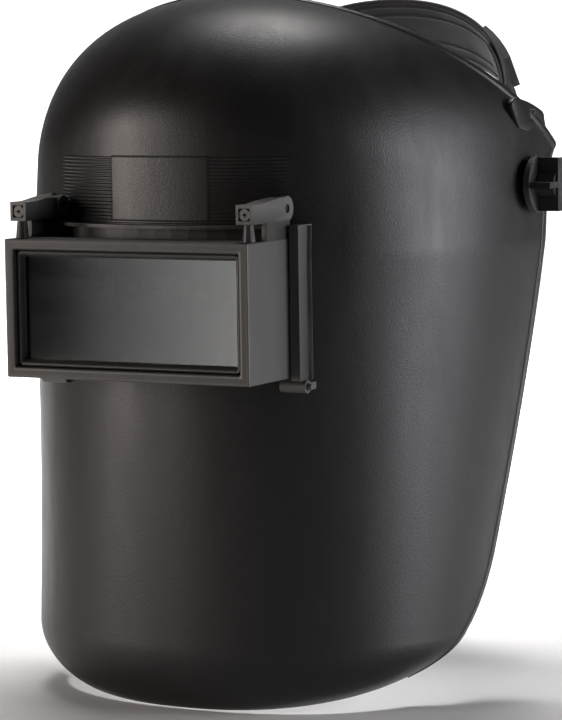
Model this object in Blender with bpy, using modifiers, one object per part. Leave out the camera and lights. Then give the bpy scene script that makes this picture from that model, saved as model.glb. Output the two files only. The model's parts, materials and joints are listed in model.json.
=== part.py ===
"""Welding helmet with a flip-front lens holder, as separate parts on real joints.

Frame: origin midway between the two head pivots, +X to the wearer's left, -Y out of the front,
+Z up. All dimensions below are in millimetres.
"""
import math

import bmesh
import bpy
from mathutils import Matrix, Vector

MM = 0.001
GAP = 0.35                      # clearance kept between touching pieces

# shell: two rails joined by superellipse sections
SHELL_HALF_WIDTH = 113.5        # at the head pivots
CHIN_HALF_WIDTH = 101.5
SHELL_FRONT = -128.0            # front wall
CHIN_Z = -218.8
CHIN_ROUND = 28.8
CHIN_TUCK = 12.8                # how far the chin rim turns in
CROWN_Z = 84.0
CROWN_Y = -56.0                 # crown rim on the centre line
DOME_START_Z = -25.0
DOME_TANGENT_Z = 26.0
DOME_POWER = 1.91
SECTION_POWER = 2.3
CROWN_SECTION_POWER = 1.95
EAR_Z = 16.0
SIDE_BOTTOM_Z = -200.0
REAR_EDGE_Y = 17.5              # rear edge at the pivots' height
REAR_SWEEP = 53.4               # how far the edge sweeps forward at the side's bottom
REAR_SWEEP_POWER = 1.5
EAR_FLARE = 9.5                 # how far the ear stands back of the pivots' edge
CORNER_START_Z = -158.0         # the lower rear corner is trimmed round below this
CORNER_HEIGHT = 42.1
CORNER_DEPTH = 35.0
SHELL_WALL = 2.5
SHELL_COLUMNS = 32
CHIN_ROWS = 5
BODY_ROWS = 10
DOME_ROWS = 12

LUG_INNER_X = 109.7
LUG_OUTER_X = 112.3
LUG_OUTLINE = ((-16.6, 34.6), (-16.2, 36.6), (-14.0, 37.7), (-9.0, 37.7), (-3.7, 37.0), (2.0, 35.8),
               (7.0, 34.4), (12.0, 32.8), (16.0, 31.3), (17.9, 29.6), (17.8, 28.0), (18.9, 25.2), (20.0, 21.0),
               (6.0, 21.5),
               (-10.4, 24.6))
PEG_Y = 6.0                     # square peg hole in the ear lug
PEG_Z = 29.7

# lens holder
BOX_Z = -45.6                   # centre height of the lens box
FRAME_HALF_X = 58.0
FRAME_HALF_Z = 29.1
FRAME_FRONT = -157.0
FRAME_REAR = -118.3
FRAME_WALL = 2.5
RIM_STEP = 3.2
LEDGE_FRONT = -147.0
LEDGE_REAR = -144.5
WINDOW_HALF_X = 49.0
WINDOW_HALF_Z = 21.6
PLATE_HALF_X = 53.5             # a standard 51 x 108 mm filter plate
PLATE_HALF_Z = 25.3
COLLAR_FRONT = -140.5
COLLAR_HALF_X = 54.2
COLLAR_TOP = 24.6               # above the box centre
COLLAR_BOTTOM = 23.5            # below the box centre, clear of the frame's swing
SAFETY_HALF_X = 51.0            # plate that stays on the base
SAFETY_HALF_Z = 22.3
FLANGE_HALF_X = 62.6
FLANGE_TOP = -11.8
FLANGE_BOTTOM = -76.2
FLANGE_THICKNESS = 3.4
RAIL_INNER_X = 58.7             # side rails of the base, just outside the box
RAIL_OUTER_X = 63.0
RAIL_FRONT = -122.4
LIP_HALF_X = 48.0               # curved lip along the base's top
LIP_REACH = 4.0
SCREW_X = 60.8
HINGE_Y = -121.5
HINGE_Z = -4.4
HINGE_PIN_RADIUS = 1.5
BOSS_RADIUS = 5.3
KNUCKLE_RADIUS = 4.4
ARM_INNER_X = 50.2
ARM_OUTER_X = 57.8
ARM_FRONT = -152.0
ARM_REAR = -126.6
ARM_BOTTOM = -9.3
ARM_TOP = -1.3
LATCH_Y = -117.5
LATCH_Z = -78.3
LATCH_RADIUS = 2.8
NECK_FRONT = -139.5
SOCKET = 5.2

# headgear
PIVOT_HOLE_RADIUS = 4.2
BAND_HALF_X = 86.0              # inner face of the front band
BAND_FRONT_Y = -72.0
BAND_THICKNESS = 2.2
BAND_CENTRE_Y = 4.0
BAND_TAIL = 40.0                # straight run behind the forehead arc
FOREHEAD_RISE = 20.0
SWEATBAND_THICKNESS = 5.0
REAR_START_Y = 22.0
REAR_CENTRE_Y = 46.0
RIVET_Y = 31.0
RIVET_Z = 4.0
NAPE_Y = 106.0
NAPE_Z = -28.0
STRAP_HALF_X = 82.0
STRAP_FOOT = (30.0, 4.0)        # Y, Z
STRAP_TOP = (107.0, 67.5)       # Y, Z; the strap lies back
STRAP_FULLNESS = 0.92           # under 1 squares the arch
STRAP_WIDTH = 24.0               # at the feet
STRAP_CROWN_WIDTH = 34.0
STRAP_THICKNESS = 1.8
PINION_RADIUS = 6.0
PINION_TEETH = 10
TOOTH_HEIGHT = 1.0
KNOB_RADIUS = 12.5

PARTS = None
CUTTERS = None
MATERIALS = {}

COLOURS = {
    "shell_black": ((0.030, 0.029, 0.029), 0.55, 0.0),
    "frame_black": ((0.055, 0.052, 0.052), 0.48, 0.0),
    "strap_black": ((0.028, 0.028, 0.030), 0.50, 0.0),
    "knob_black": ((0.022, 0.022, 0.024), 0.45, 0.0),
    "filter_glass": ((0.010, 0.016, 0.012), 0.06, 0.0),
    "clear_glass": ((0.55, 0.58, 0.57), 0.05, 0.0),
    "rubber_black": ((0.020, 0.020, 0.020), 0.80, 0.0),
    "steel": ((0.55, 0.55, 0.56), 0.30, 1.0),
    "sweat_foam": ((0.045, 0.043, 0.042), 0.90, 0.0),
}


def reset_scene():
    global PARTS, CUTTERS
    for item in list(bpy.data.objects):
        bpy.data.objects.remove(item, do_unlink=True)
    PARTS = bpy.data.collections.new("welding_helmet")
    CUTTERS = bpy.data.collections.new("cutters")
    bpy.context.scene.collection.children.link(PARTS)
    bpy.context.scene.collection.children.link(CUTTERS)


def make_material(name):
    if name not in MATERIALS:
        colour, roughness, metallic = COLOURS[name]
        made = bpy.data.materials.new(name)
        made.use_nodes = True
        shader = made.node_tree.nodes["Principled BSDF"]
        shader.inputs["Base Color"].default_value = (*colour, 1.0)
        shader.inputs["Roughness"].default_value = roughness
        shader.inputs["Metallic"].default_value = metallic
        made.diffuse_color = (*colour, 1.0)
        MATERIALS[name] = made
    return MATERIALS[name]


def link_mesh(name, mesh, material=None, location=(0, 0, 0), smooth=True):
    """Link a mesh (in metres) as a part, or as a cutter when no material is given."""
    item = bpy.data.objects.new(name, mesh)
    item.location = Vector(location) * MM
    if material:
        PARTS.objects.link(item)
        mesh.materials.clear()
        mesh.materials.append(make_material(material))
        if smooth:
            mesh.shade_smooth()
            mesh.set_sharp_from_angle(angle=math.radians(35))
    else:
        CUTTERS.objects.link(item)
        item.hide_render = True
        item.display_type = "WIRE"
    return item


def box_mesh(low, high, bevel=0.0):
    """A box between two corners in mm, with optional bevelled edges."""
    bm = bmesh.new()
    bmesh.ops.create_cube(bm, size=1.0)
    size = Vector(high) - Vector(low)
    centre = (Vector(high) + Vector(low)) / 2
    bmesh.ops.scale(bm, vec=size, verts=bm.verts)
    if bevel:
        bmesh.ops.bevel(bm, geom=bm.edges[:], offset=bevel, segments=2, profile=0.5, affect="EDGES")
    bmesh.ops.translate(bm, vec=centre, verts=bm.verts)
    bmesh.ops.scale(bm, vec=(MM, MM, MM), verts=bm.verts)
    mesh = bpy.data.meshes.new("box")
    bm.to_mesh(mesh)
    bm.free()
    return mesh


def add_box(name, low, high, material=None, bevel=0.0):
    return link_mesh(name, box_mesh(low, high, bevel), material)


def cylinder_mesh(radius, start, end, axis="X", sides=24, end_radius=None):
    """A cylinder or cone along an axis from start to end on that axis, in mm."""
    bm = bmesh.new()
    top = radius if end_radius is None else end_radius
    bmesh.ops.create_cone(bm, cap_ends=True, segments=sides, radius1=radius, radius2=top, depth=end - start)
    bmesh.ops.translate(bm, vec=(0, 0, (start + end) / 2), verts=bm.verts)
    turn = {"X": Matrix.Rotation(math.pi / 2, 3, "Y"), "Y": Matrix.Rotation(-math.pi / 2, 3, "X"),
            "Z": Matrix.Identity(3)}[axis]
    bmesh.ops.rotate(bm, cent=(0, 0, 0), matrix=turn, verts=bm.verts)
    bmesh.ops.scale(bm, vec=(MM, MM, MM), verts=bm.verts)
    mesh = bpy.data.meshes.new("cylinder")
    bm.to_mesh(mesh)
    bm.free()
    return mesh


def add_cylinder(name, radius, start, end, axis, centre, material=None, sides=24, end_radius=None):
    mesh = cylinder_mesh(radius, start, end, axis, sides, end_radius)
    return link_mesh(name, mesh, material, centre)


def combine(target, other, operation):
    """Boolean two objects into the target's mesh; the other object is used up."""
    modifier = target.modifiers.new(operation.lower(), "BOOLEAN")
    modifier.operation = operation
    modifier.solver = "EXACT"
    modifier.object = other
    graph = bpy.context.evaluated_depsgraph_get()
    mesh = bpy.data.meshes.new_from_object(target.evaluated_get(graph))
    target.modifiers.remove(modifier)
    target.data = mesh
    bpy.data.objects.remove(other, do_unlink=True)
    return target


def cut(target, other):
    return combine(target, other, "DIFFERENCE")


def join(target, other):
    return combine(target, other, "UNION")


def finish_shading(item):
    item.data.shade_smooth()
    item.data.set_sharp_from_angle(angle=math.radians(35))


def turned_mesh(profile, axis, steps=32):
    """Turn a closed profile of (radius, height) points round an axis with a Screw modifier."""
    mesh = bpy.data.meshes.new("turned")
    points = [(radius * MM, 0.0, height * MM) for radius, height in profile]
    edges = [(index, (index + 1) % len(points)) for index in range(len(points))]
    mesh.from_pydata(points, edges, [])
    item = bpy.data.objects.new("turned", mesh)
    CUTTERS.objects.link(item)
    screw = item.modifiers.new("screw", "SCREW")
    screw.axis = "Z"
    screw.steps = steps
    screw.render_steps = steps
    screw.use_merge_vertices = True
    screw.merge_threshold = 0.00001
    graph = bpy.context.evaluated_depsgraph_get()
    made = bpy.data.meshes.new_from_object(item.evaluated_get(graph))
    bpy.data.objects.remove(item, do_unlink=True)
    bm = bmesh.new()
    bm.from_mesh(made)
    bmesh.ops.remove_doubles(bm, verts=bm.verts, dist=0.00001)
    bmesh.ops.recalc_face_normals(bm, faces=bm.faces)
    turn = {"X": Matrix.Rotation(math.pi / 2, 3, "Y"), "Y": Matrix.Rotation(-math.pi / 2, 3, "X"),
            "Z": Matrix.Identity(3)}[axis]
    bmesh.ops.rotate(bm, cent=(0, 0, 0), matrix=turn, verts=bm.verts)
    bm.to_mesh(made)
    bm.free()
    return made


def outline_mesh(points, thickness, axis):
    """A flat outline extruded by its thickness; points are in the plane across the axis."""
    curve = bpy.data.curves.new("outline", "CURVE")
    curve.dimensions = "2D"
    curve.fill_mode = "BOTH"
    curve.extrude = thickness * MM / 2
    spline = curve.splines.new("POLY")
    spline.points.add(len(points) - 1)
    for point, (across, up) in zip(spline.points, points):
        point.co = (across * MM, up * MM, 0.0, 1.0)
    spline.use_cyclic_u = True
    item = bpy.data.objects.new("outline", curve)
    CUTTERS.objects.link(item)
    graph = bpy.context.evaluated_depsgraph_get()
    mesh = bpy.data.meshes.new_from_object(item.evaluated_get(graph))
    bpy.data.objects.remove(item, do_unlink=True)
    bm = bmesh.new()
    bm.from_mesh(mesh)
    bmesh.ops.remove_doubles(bm, verts=bm.verts, dist=0.000001)
    to_world = {"X": Matrix(((0, 0, 1), (1, 0, 0), (0, 1, 0))),
                "Y": Matrix(((1, 0, 0), (0, 0, -1), (0, 1, 0))),
                "Z": Matrix.Identity(3)}[axis]
    bmesh.ops.rotate(bm, cent=(0, 0, 0), matrix=to_world, verts=bm.verts)
    bmesh.ops.recalc_face_normals(bm, faces=bm.faces)
    bm.to_mesh(mesh)
    bm.free()
    return mesh


def wire_mesh(points, radius, cyclic=False):
    """A round wire along points in mm, as a closed mesh."""
    curve = bpy.data.curves.new("wire", "CURVE")
    curve.dimensions = "3D"
    curve.bevel_depth = radius * MM
    curve.bevel_resolution = 2
    curve.use_fill_caps = True
    spline = curve.splines.new("POLY")
    spline.points.add(len(points) - 1)
    for point, place in zip(spline.points, points):
        point.co = (*(Vector(place) * MM), 1.0)
    spline.use_cyclic_u = cyclic
    item = bpy.data.objects.new("wire", curve)
    CUTTERS.objects.link(item)
    graph = bpy.context.evaluated_depsgraph_get()
    mesh = bpy.data.meshes.new_from_object(item.evaluated_get(graph))
    bpy.data.objects.remove(item, do_unlink=True)
    bm = bmesh.new()
    bm.from_mesh(mesh)
    bmesh.ops.remove_doubles(bm, verts=bm.verts, dist=0.000005)
    bmesh.ops.recalc_face_normals(bm, faces=bm.faces)
    bm.to_mesh(mesh)
    bm.free()
    return mesh


def sheet_mesh(grid, thickness, closed=False):
    """A grid of points in mm given a wall by Solidify; positive thickness grows along the normals."""
    rows = len(grid)
    columns = len(grid[0])
    points = [Vector(point) * MM for row in grid for point in row]
    faces = []
    for row in range(rows - 1):
        for column in range(columns if closed else columns - 1):
            beside = (column + 1) % columns
            faces.append((row * columns + column, row * columns + beside,
                          (row + 1) * columns + beside, (row + 1) * columns + column))
    mesh = bpy.data.meshes.new("sheet")
    mesh.from_pydata(points, [], faces)
    item = bpy.data.objects.new("sheet", mesh)
    CUTTERS.objects.link(item)
    solid = item.modifiers.new("wall", "SOLIDIFY")
    solid.thickness = abs(thickness) * MM
    solid.offset = 1.0 if thickness > 0 else -1.0
    solid.use_even_offset = True
    graph = bpy.context.evaluated_depsgraph_get()
    made = bpy.data.meshes.new_from_object(item.evaluated_get(graph))
    bpy.data.objects.remove(item, do_unlink=True)
    bm = bmesh.new()
    bm.from_mesh(made)
    bmesh.ops.recalc_face_normals(bm, faces=bm.faces)
    bm.to_mesh(made)
    bm.free()
    return made


def blend(a, b, t):
    return a + (b - a) * t


def rear_edge_y(z):
    """Y of the shell's rear edge before its corner is trimmed: flared above the pivots, swept below."""
    flare = EAR_FLARE * (max(z, 0.0) / EAR_Z) ** 1.5
    sweep = REAR_SWEEP * (max(-z, 0.0) / -SIDE_BOTTOM_Z) ** REAR_SWEEP_POWER
    return REAR_EDGE_Y + flare - sweep


def shell_rails(height):
    """Centre point, edge point, half-width and section power at a height parameter from 0 to 3."""
    round_z = CHIN_Z + CHIN_ROUND
    if height <= 1.0:
        angle = (1.0 - height) * math.radians(65)
        turned_in = (1 - math.cos(angle)) / (1 - math.cos(math.radians(65)))
        dropped = math.sin(angle) / math.sin(math.radians(65))
        centre = (SHELL_FRONT + CHIN_TUCK * turned_in, round_z - CHIN_ROUND * dropped)
        edge_z = blend(round_z, SIDE_BOTTOM_Z, dropped)
        return centre, (rear_edge_y(edge_z), edge_z), CHIN_HALF_WIDTH - CHIN_TUCK * turned_in, SECTION_POWER
    if height <= 2.0:
        part = height - 1.0
        z = blend(round_z, DOME_START_Z, part)
        half_width = blend(CHIN_HALF_WIDTH, SHELL_HALF_WIDTH, part)
        return (SHELL_FRONT, z), (rear_edge_y(z), z), half_width, SECTION_POWER
    part = height - 2.0
    edge_z = blend(DOME_START_Z, EAR_Z, part)
    straight = DOME_TANGENT_Z - DOME_START_Z
    rise = CROWN_Z - DOME_TANGENT_Z
    back = CROWN_Y - SHELL_FRONT
    travelled = part * (straight + (rise + back) * 0.8)
    power = blend(SECTION_POWER, CROWN_SECTION_POWER, part)
    if travelled < straight:
        centre = (SHELL_FRONT, DOME_START_Z + travelled)
    else:
        angle = min((travelled - straight) / ((rise + back) * 0.8), 1.0) * math.pi / 2
        centre = (SHELL_FRONT + back * (1 - abs(math.cos(angle)) ** (2 / DOME_POWER)),
                  DOME_TANGENT_Z + rise * math.sin(angle) ** (2 / DOME_POWER))
    return centre, (rear_edge_y(edge_z), edge_z), SHELL_HALF_WIDTH, power


def shell_point(height, across):
    """A point on the shell's outer surface; across is the section angle from -90 to 90 degrees."""
    centre, edge, half_width, power = shell_rails(height)
    sine = math.sin(across)
    inward = abs(math.cos(across)) ** (2 / power)
    x = half_width * math.copysign(abs(sine) ** (2 / power), sine)
    return Vector((x, blend(edge[0], centre[0], inward), blend(edge[1], centre[1], inward)))


def section_limit(height):
    """How far round the section runs, in radians, once the lower rear corner is trimmed."""
    centre, edge, _, power = shell_rails(height)
    down = max(CORNER_START_Z - edge[1], 0.0) / CORNER_HEIGHT
    trimmed = CORNER_DEPTH * (1 - math.sqrt(1 - down * down))
    return math.acos((trimmed / (edge[0] - centre[0])) ** (power / 2))


def shell_front_y(x, z):
    """Y of the shell's outer surface straight ahead of a given X and Z on the front and sides."""
    low, high = 0.5, 3.0
    for _ in range(30):
        height = (low + high) / 2
        centre, edge, half_width, power = shell_rails(height)
        inward = max(0.0, 1 - (abs(x) / half_width) ** power) ** (1 / power)
        if blend(edge[1], centre[1], inward) < z:
            low = height
        else:
            high = height
    return blend(edge[0], centre[0], inward)


def shell_normal(x, z):
    step = 0.5
    slope_x = (shell_front_y(x + step, z) - shell_front_y(x - step, z)) / (2 * step)
    slope_z = (shell_front_y(x, z + step) - shell_front_y(x, z - step)) / (2 * step)
    return Vector((slope_x, -1.0, slope_z)).normalized()


def shell_patch(x_half, z_low, z_high, offset, thickness, columns=16, rows=4):
    """A plate that follows the shell's outside: its near face is offset from the shell along the normal."""
    grid = []
    for row in range(rows + 1):
        z = blend(z_low, z_high, row / rows)
        line = []
        for column in range(columns + 1):
            x = blend(-x_half, x_half, column / columns)
            line.append(Vector((x, shell_front_y(x, z), z)) + shell_normal(x, z) * offset)
        grid.append(line)
    return sheet_mesh(grid, thickness)


def shell_core(x_half, z_low, z_high, offset, back_y, columns=20, rows=6):
    """Everything behind a surface that follows the shell, as a closed cutter with a flat back."""
    bm = bmesh.new()
    front = []
    back = []
    for row in range(rows + 1):
        z = blend(z_low, z_high, row / rows)
        for column in range(columns + 1):
            x = blend(-x_half, x_half, column / columns)
            place = Vector((x, shell_front_y(x, z), z)) + shell_normal(x, z) * offset
            front.append(bm.verts.new(place * MM))
            back.append(bm.verts.new(Vector((place.x, back_y, place.z)) * MM))
    wide = columns + 1
    for row in range(rows):
        for column in range(columns):
            corner = row * wide + column
            around = (corner, corner + 1, corner + wide + 1, corner + wide)
            bm.faces.new([front[index] for index in around])
            bm.faces.new([back[index] for index in reversed(around)])
    rim = [(index, index + 1) for index in range(columns)]
    rim += [(row * wide + columns, (row + 1) * wide + columns) for row in range(rows)]
    rim += [(rows * wide + index + 1, rows * wide + index) for index in reversed(range(columns))]
    rim += [((row + 1) * wide, row * wide) for row in reversed(range(rows))]
    for first, second in rim:
        bm.faces.new((front[first], back[first], back[second], front[second]))
    bmesh.ops.recalc_face_normals(bm, faces=bm.faces)
    mesh = bpy.data.meshes.new("core")
    bm.to_mesh(mesh)
    bm.free()
    return mesh


def build_shell():
    heights = [index / CHIN_ROWS for index in range(CHIN_ROWS)]
    heights += [1 + (index / BODY_ROWS) ** 1.5 for index in range(BODY_ROWS)]
    heights += [2 + index / DOME_ROWS for index in range(DOME_ROWS + 1)]
    grid = []
    for height in heights:
        line = []
        for column in range(SHELL_COLUMNS + 1):
            across = blend(-1.0, 1.0, column / SHELL_COLUMNS) * section_limit(height)
            line.append(shell_point(height, across))
        grid.append(line)
    shell = link_mesh("shell", sheet_mesh(grid, -SHELL_WALL), "shell_black")
    window = add_box("window_cutter", (-WINDOW_HALF_X, -150, BOX_Z - WINDOW_HALF_Z),
                     (WINDOW_HALF_X, -90, BOX_Z + WINDOW_HALF_Z))
    cut(shell, window)
    for side in (-1, 1):
        low, high = sorted((side * LUG_INNER_X, side * LUG_OUTER_X))
        join(shell, link_mesh("ear_lug", outline_mesh(LUG_OUTLINE, high - low, "X"), None,
                              ((low + high) / 2, 0, 0)))
        low, high = sorted((side * 90, side * 125))
        cut(shell, add_cylinder("pivot_cutter", PIVOT_HOLE_RADIUS, low, high, "X", (0, 0, 0)))
        hole = add_box("stop_hole_cutter", (low, PEG_Y - 2.1, PEG_Z - 2.1), (high, PEG_Y + 2.1, PEG_Z + 2.1))
        cut(shell, hole)
    for x, z in base_screw_places():
        y = shell_front_y(x, z)
        cut(shell, add_cylinder("screw_cutter", 1.7, -12, 12, "Y", (x, y, z), sides=12))
    finish_shading(shell)
    return shell


def base_screw_places():
    return [(side * SCREW_X, BOX_Z + up) for side in (-1, 1) for up in (-24.0, 21.0)]


def build_lens_holder_base():
    """Curved flange on the shell, the collar that the flip frame closes over, and two hinge knuckles."""
    base = link_mesh("lens_holder_base",
                     shell_patch(FLANGE_HALF_X, FLANGE_BOTTOM, FLANGE_TOP, -2.0,
                                 FLANGE_THICKNESS + GAP + 2.0), "frame_black")
    collar = add_box("collar", (-COLLAR_HALF_X, COLLAR_FRONT, BOX_Z - COLLAR_BOTTOM),
                     (COLLAR_HALF_X, -112, BOX_Z + COLLAR_TOP))
    join(base, collar)
    lip = shell_patch(LIP_HALF_X, FLANGE_TOP - 1.0, FLANGE_TOP + 0.4, 0.0, FLANGE_THICKNESS + GAP + LIP_REACH)
    join(base, link_mesh("lip", lip))
    for side in (-1, 1):
        low, high = sorted((side * RAIL_INNER_X, side * RAIL_OUTER_X))
        join(base, add_box("rail", (low, RAIL_FRONT, FLANGE_BOTTOM + 0.5), (high, -95, FLANGE_TOP + 0.6)))
        low, high = sorted((side * 50.2, side * 54.6))
        join(base, add_cylinder("knuckle", KNUCKLE_RADIUS, low, high, "X", (0, HINGE_Y, HINGE_Z)))
        join(base, add_box("knuckle_web", (low, HINGE_Y - 3.0, FLANGE_TOP - 6), (high, -108, HINGE_Z)))
        low, high = sorted((side * 52.0, side * 64.0))
        join(base, add_cylinder("latch_barrel", LATCH_RADIUS, low, high, "X", (0, LATCH_Y, LATCH_Z)))
        join(base, add_box("latch_web", (low, LATCH_Y, LATCH_Z - 1.5), (high, -105, LATCH_Z + 1.5)))
    cut(base, link_mesh("shell_side", shell_core(80, -95, 12, GAP, -80)))
    cut(base, add_box("view_cutter", (-WINDOW_HALF_X, -160, BOX_Z - WINDOW_HALF_Z),
                      (WINDOW_HALF_X, -90, BOX_Z + WINDOW_HALF_Z)))
    pocket_x = SAFETY_HALF_X + GAP
    pocket_z = SAFETY_HALF_Z + GAP
    cut(base, add_box("safety_pocket", (-pocket_x, COLLAR_FRONT - 5, BOX_Z - pocket_z),
                      (pocket_x, COLLAR_FRONT + 4.5, BOX_Z + pocket_z)))
    for side in (-1, 1):
        low, high = sorted((side * 45.0, side * 60.0))
        cut(base, add_cylinder("pin_hole", HINGE_PIN_RADIUS + GAP, low, high, "X",
                               (0, HINGE_Y, HINGE_Z), sides=16))
        low, high = sorted((side * 55.0, side * 70.0))
        cut(base, add_cylinder("latch_hole", 1.5, low, high, "X", (0, LATCH_Y, LATCH_Z), sides=12))
    for x, z in base_screw_places():
        cut(base, add_cylinder("pilot_hole", 1.65, -7.2, 12, "Y", (x, shell_front_y(x, z), z), sides=12))
    finish_shading(base)
    return base


def build_base_clamp_frame():
    """The inner frame that the four screws pull against the inside of the shell."""
    clamp = link_mesh("base_clamp_frame",
                      shell_patch(FLANGE_HALF_X - 1, FLANGE_BOTTOM + 1, FLANGE_TOP - 1,
                                  -SHELL_WALL - GAP, -2.2), "frame_black")
    cut(clamp, add_box("view_cutter", (-WINDOW_HALF_X - 1, -160, BOX_Z - WINDOW_HALF_Z - 1),
                       (WINDOW_HALF_X + 1, -80, BOX_Z + WINDOW_HALF_Z + 1)))
    for x, z in base_screw_places():
        cut(clamp, add_cylinder("screw_hole", 1.7, -20, 20, "Y", (x, shell_front_y(x, z), z), sides=12))
    finish_shading(clamp)


def build_base_screws():
    """Self-tapping screws from inside the helmet, through the clamp frame into the base's rails."""
    for number, (x, z) in enumerate(base_screw_places(), start=1):
        face = shell_front_y(x, z)
        seat = face + SHELL_WALL + 5.6
        profile = [(0, seat + 1.7), (2.1, seat + 1.7), (2.6, seat + 0.8), (2.6, seat), (1.3, seat),
                   (1.3, face - 5.6), (0, face - 6.8)]
        screw = solid_turned("base_screw_%d" % number, profile, "steel", "Y", (x, 0, z), 16)
        cut(screw, add_box("slot", (x - 3.5, seat + 1.0, z - 0.4), (x + 3.5, seat + 3.0, z + 0.4)))
        finish_shading(screw)


def solid_turned(name, profile, material, axis, centre, steps=24):
    """A turned solid whose profile runs down the axis, along the heights given, at +X."""
    mesh = turned_mesh(profile, axis, steps)
    return link_mesh(name, mesh, material, centre)


def build_glass():
    """Two plates and the seals: cover and filter in the flip frame, safety lens in the base."""
    def plate(name, front, thick, material, half_x=PLATE_HALF_X, half_z=PLATE_HALF_Z):
        return add_box(name, (-half_x, front, BOX_Z - half_z), (half_x, front + thick, BOX_Z + half_z),
                       material)

    def ring(name, front, thick, material, half_x, half_z, wall):
        made = plate(name, front, thick, material, half_x, half_z)
        cut(made, add_box("hole", (-half_x + wall, front - 5, BOX_Z - half_z + wall),
                          (half_x - wall, front + 10, BOX_Z + half_z - wall)))
        return made

    ring("front_bezel", -154.2, 2.0, "frame_black", 54.4, 25.6, 3.6)
    plate("cover_lens", -151.9, 1.0, "clear_glass")
    plate("filter_lens", -150.6, 3.0, "filter_glass")
    plate("safety_lens", COLLAR_FRONT + 2.6, 1.4, "clear_glass", SAFETY_HALF_X, SAFETY_HALF_Z)
    ring("safety_lens_frame", COLLAR_FRONT + 0.6, 1.7, "frame_black", SAFETY_HALF_X, SAFETY_HALF_Z, 2.6)


def build_flip_frame():
    """The box with its side plates, two hollow arms and the ledge that the filter rests on."""
    bottom = BOX_Z - FRAME_HALF_Z
    top = BOX_Z + FRAME_HALF_Z
    frame = add_box("flip_frame", (-FRAME_HALF_X, FRAME_FRONT, bottom), (FRAME_HALF_X, FRAME_REAR, top),
                    "frame_black", bevel=0.6)
    for side in (-1, 1):
        inner = side * (FRAME_HALF_X - FRAME_WALL - 0.2)
        outer = side * (FRAME_HALF_X - 0.2)
        low, high = sorted((inner, outer))
        outline = [(NECK_FRONT, top - 9.0), (NECK_FRONT, ARM_BOTTOM), (-143.0, ARM_BOTTOM),
                   (-143.0, ARM_TOP - 0.2), (-134.0, HINGE_Z + 4.2)]
        for degrees in (110, 90, 70, 45, 20, 0, -20, -45, -70):
            angle = math.radians(degrees)
            outline.append((HINGE_Y + BOSS_RADIUS * math.cos(angle), HINGE_Z + BOSS_RADIUS * math.sin(angle)))
        outline.append((FRAME_REAR - 0.6, top - 6.0))
        outline.append((FRAME_REAR - 0.6, top - 9.0))
        plate_mesh = outline_mesh(outline, high - low, "X")
        plate = link_mesh("side_plate", plate_mesh, None, ((low + high) / 2, 0, 0))
        join(frame, plate)
        low, high = sorted((side * ARM_INNER_X, side * ARM_OUTER_X))
        arm_outline = [(ARM_FRONT, ARM_BOTTOM), (ARM_REAR, ARM_BOTTOM), (ARM_REAR, HINGE_Z + 5.0),
                       (ARM_FRONT + 9, ARM_TOP), (ARM_FRONT, ARM_TOP)]
        arm = link_mesh("arm", outline_mesh(arm_outline, high - low, "X"), None, ((low + high) / 2, 0, 0))
        join(frame, arm)
        peg_x = side * (ARM_INNER_X + 4.0)
        peg = add_cylinder("peg", 2.9, top - 1.0, ARM_BOTTOM + 0.5, "Z", (peg_x, -148.5, 0), sides=16,
                           end_radius=2.0)
        join(frame, peg)
    cut(frame, add_box("front_pocket", (-FRAME_HALF_X + RIM_STEP, -170, bottom + RIM_STEP),
                       (FRAME_HALF_X - RIM_STEP, LEDGE_FRONT, top - RIM_STEP)))
    cut(frame, add_box("view", (-WINDOW_HALF_X - 1, -170, BOX_Z - WINDOW_HALF_Z - 1),
                       (WINDOW_HALF_X + 1, -100, BOX_Z + WINDOW_HALF_Z + 1)))
    cut(frame, add_box("rear_pocket", (-FRAME_HALF_X + FRAME_WALL, LEDGE_REAR, bottom + FRAME_WALL),
                       (FRAME_HALF_X - FRAME_WALL, -100, top - FRAME_WALL)))
    cut(frame, add_box("open_back_top", (-FRAME_HALF_X + FRAME_WALL, -141.5, BOX_Z),
                       (FRAME_HALF_X - FRAME_WALL, -100, top + 1.0)))
    cut(frame, link_mesh("base_side", shell_core(80, -95, FLANGE_TOP + 1,
                                                 2 * GAP + FLANGE_THICKNESS + 0.2, -80)))
    brow = shell_core(80, -30, 45, 2 * GAP, -80)
    hinge = Vector((0, HINGE_Y, HINGE_Z)) * MM
    brow.transform(Matrix.Translation(hinge) @ Matrix.Rotation(math.radians(90), 4, "X")
                   @ Matrix.Translation(-hinge))
    cut(frame, link_mesh("raised_clearance", brow))
    half = SOCKET / 2
    centre_z = (ARM_BOTTOM + ARM_TOP) / 2
    for side in (-1, 1):
        middle = side * (ARM_INNER_X + ARM_OUTER_X) / 2
        cut(frame, add_box("socket", (middle - half, -160, centre_z - half),
                           (middle + half, -120, centre_z + half)))
        low, high = sorted((side * 52.0, side * 66.0))
        cut(frame, add_cylinder("pin_hole", HINGE_PIN_RADIUS + GAP, low, high, "X",
                                (0, HINGE_Y, HINGE_Z), sides=16))
    finish_shading(frame)


def build_hinge_and_latch_pins():
    for name, side in (("left", 1), ("right", -1)):
        low, high = sorted((side * 50.3, side * 57.4))
        pin = add_cylinder("hinge_pin_" + name, HINGE_PIN_RADIUS, low, high, "X", (0, HINGE_Y, HINGE_Z),
                           "steel", sides=16)
        finish_shading(pin)
        low, high = sorted((side * 55.4, side * 66.0))
        add_cylinder("latch_pin_" + name, 1.2, low, high, "X", (0, LATCH_Y, LATCH_Z), "frame_black", sides=12)


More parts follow.
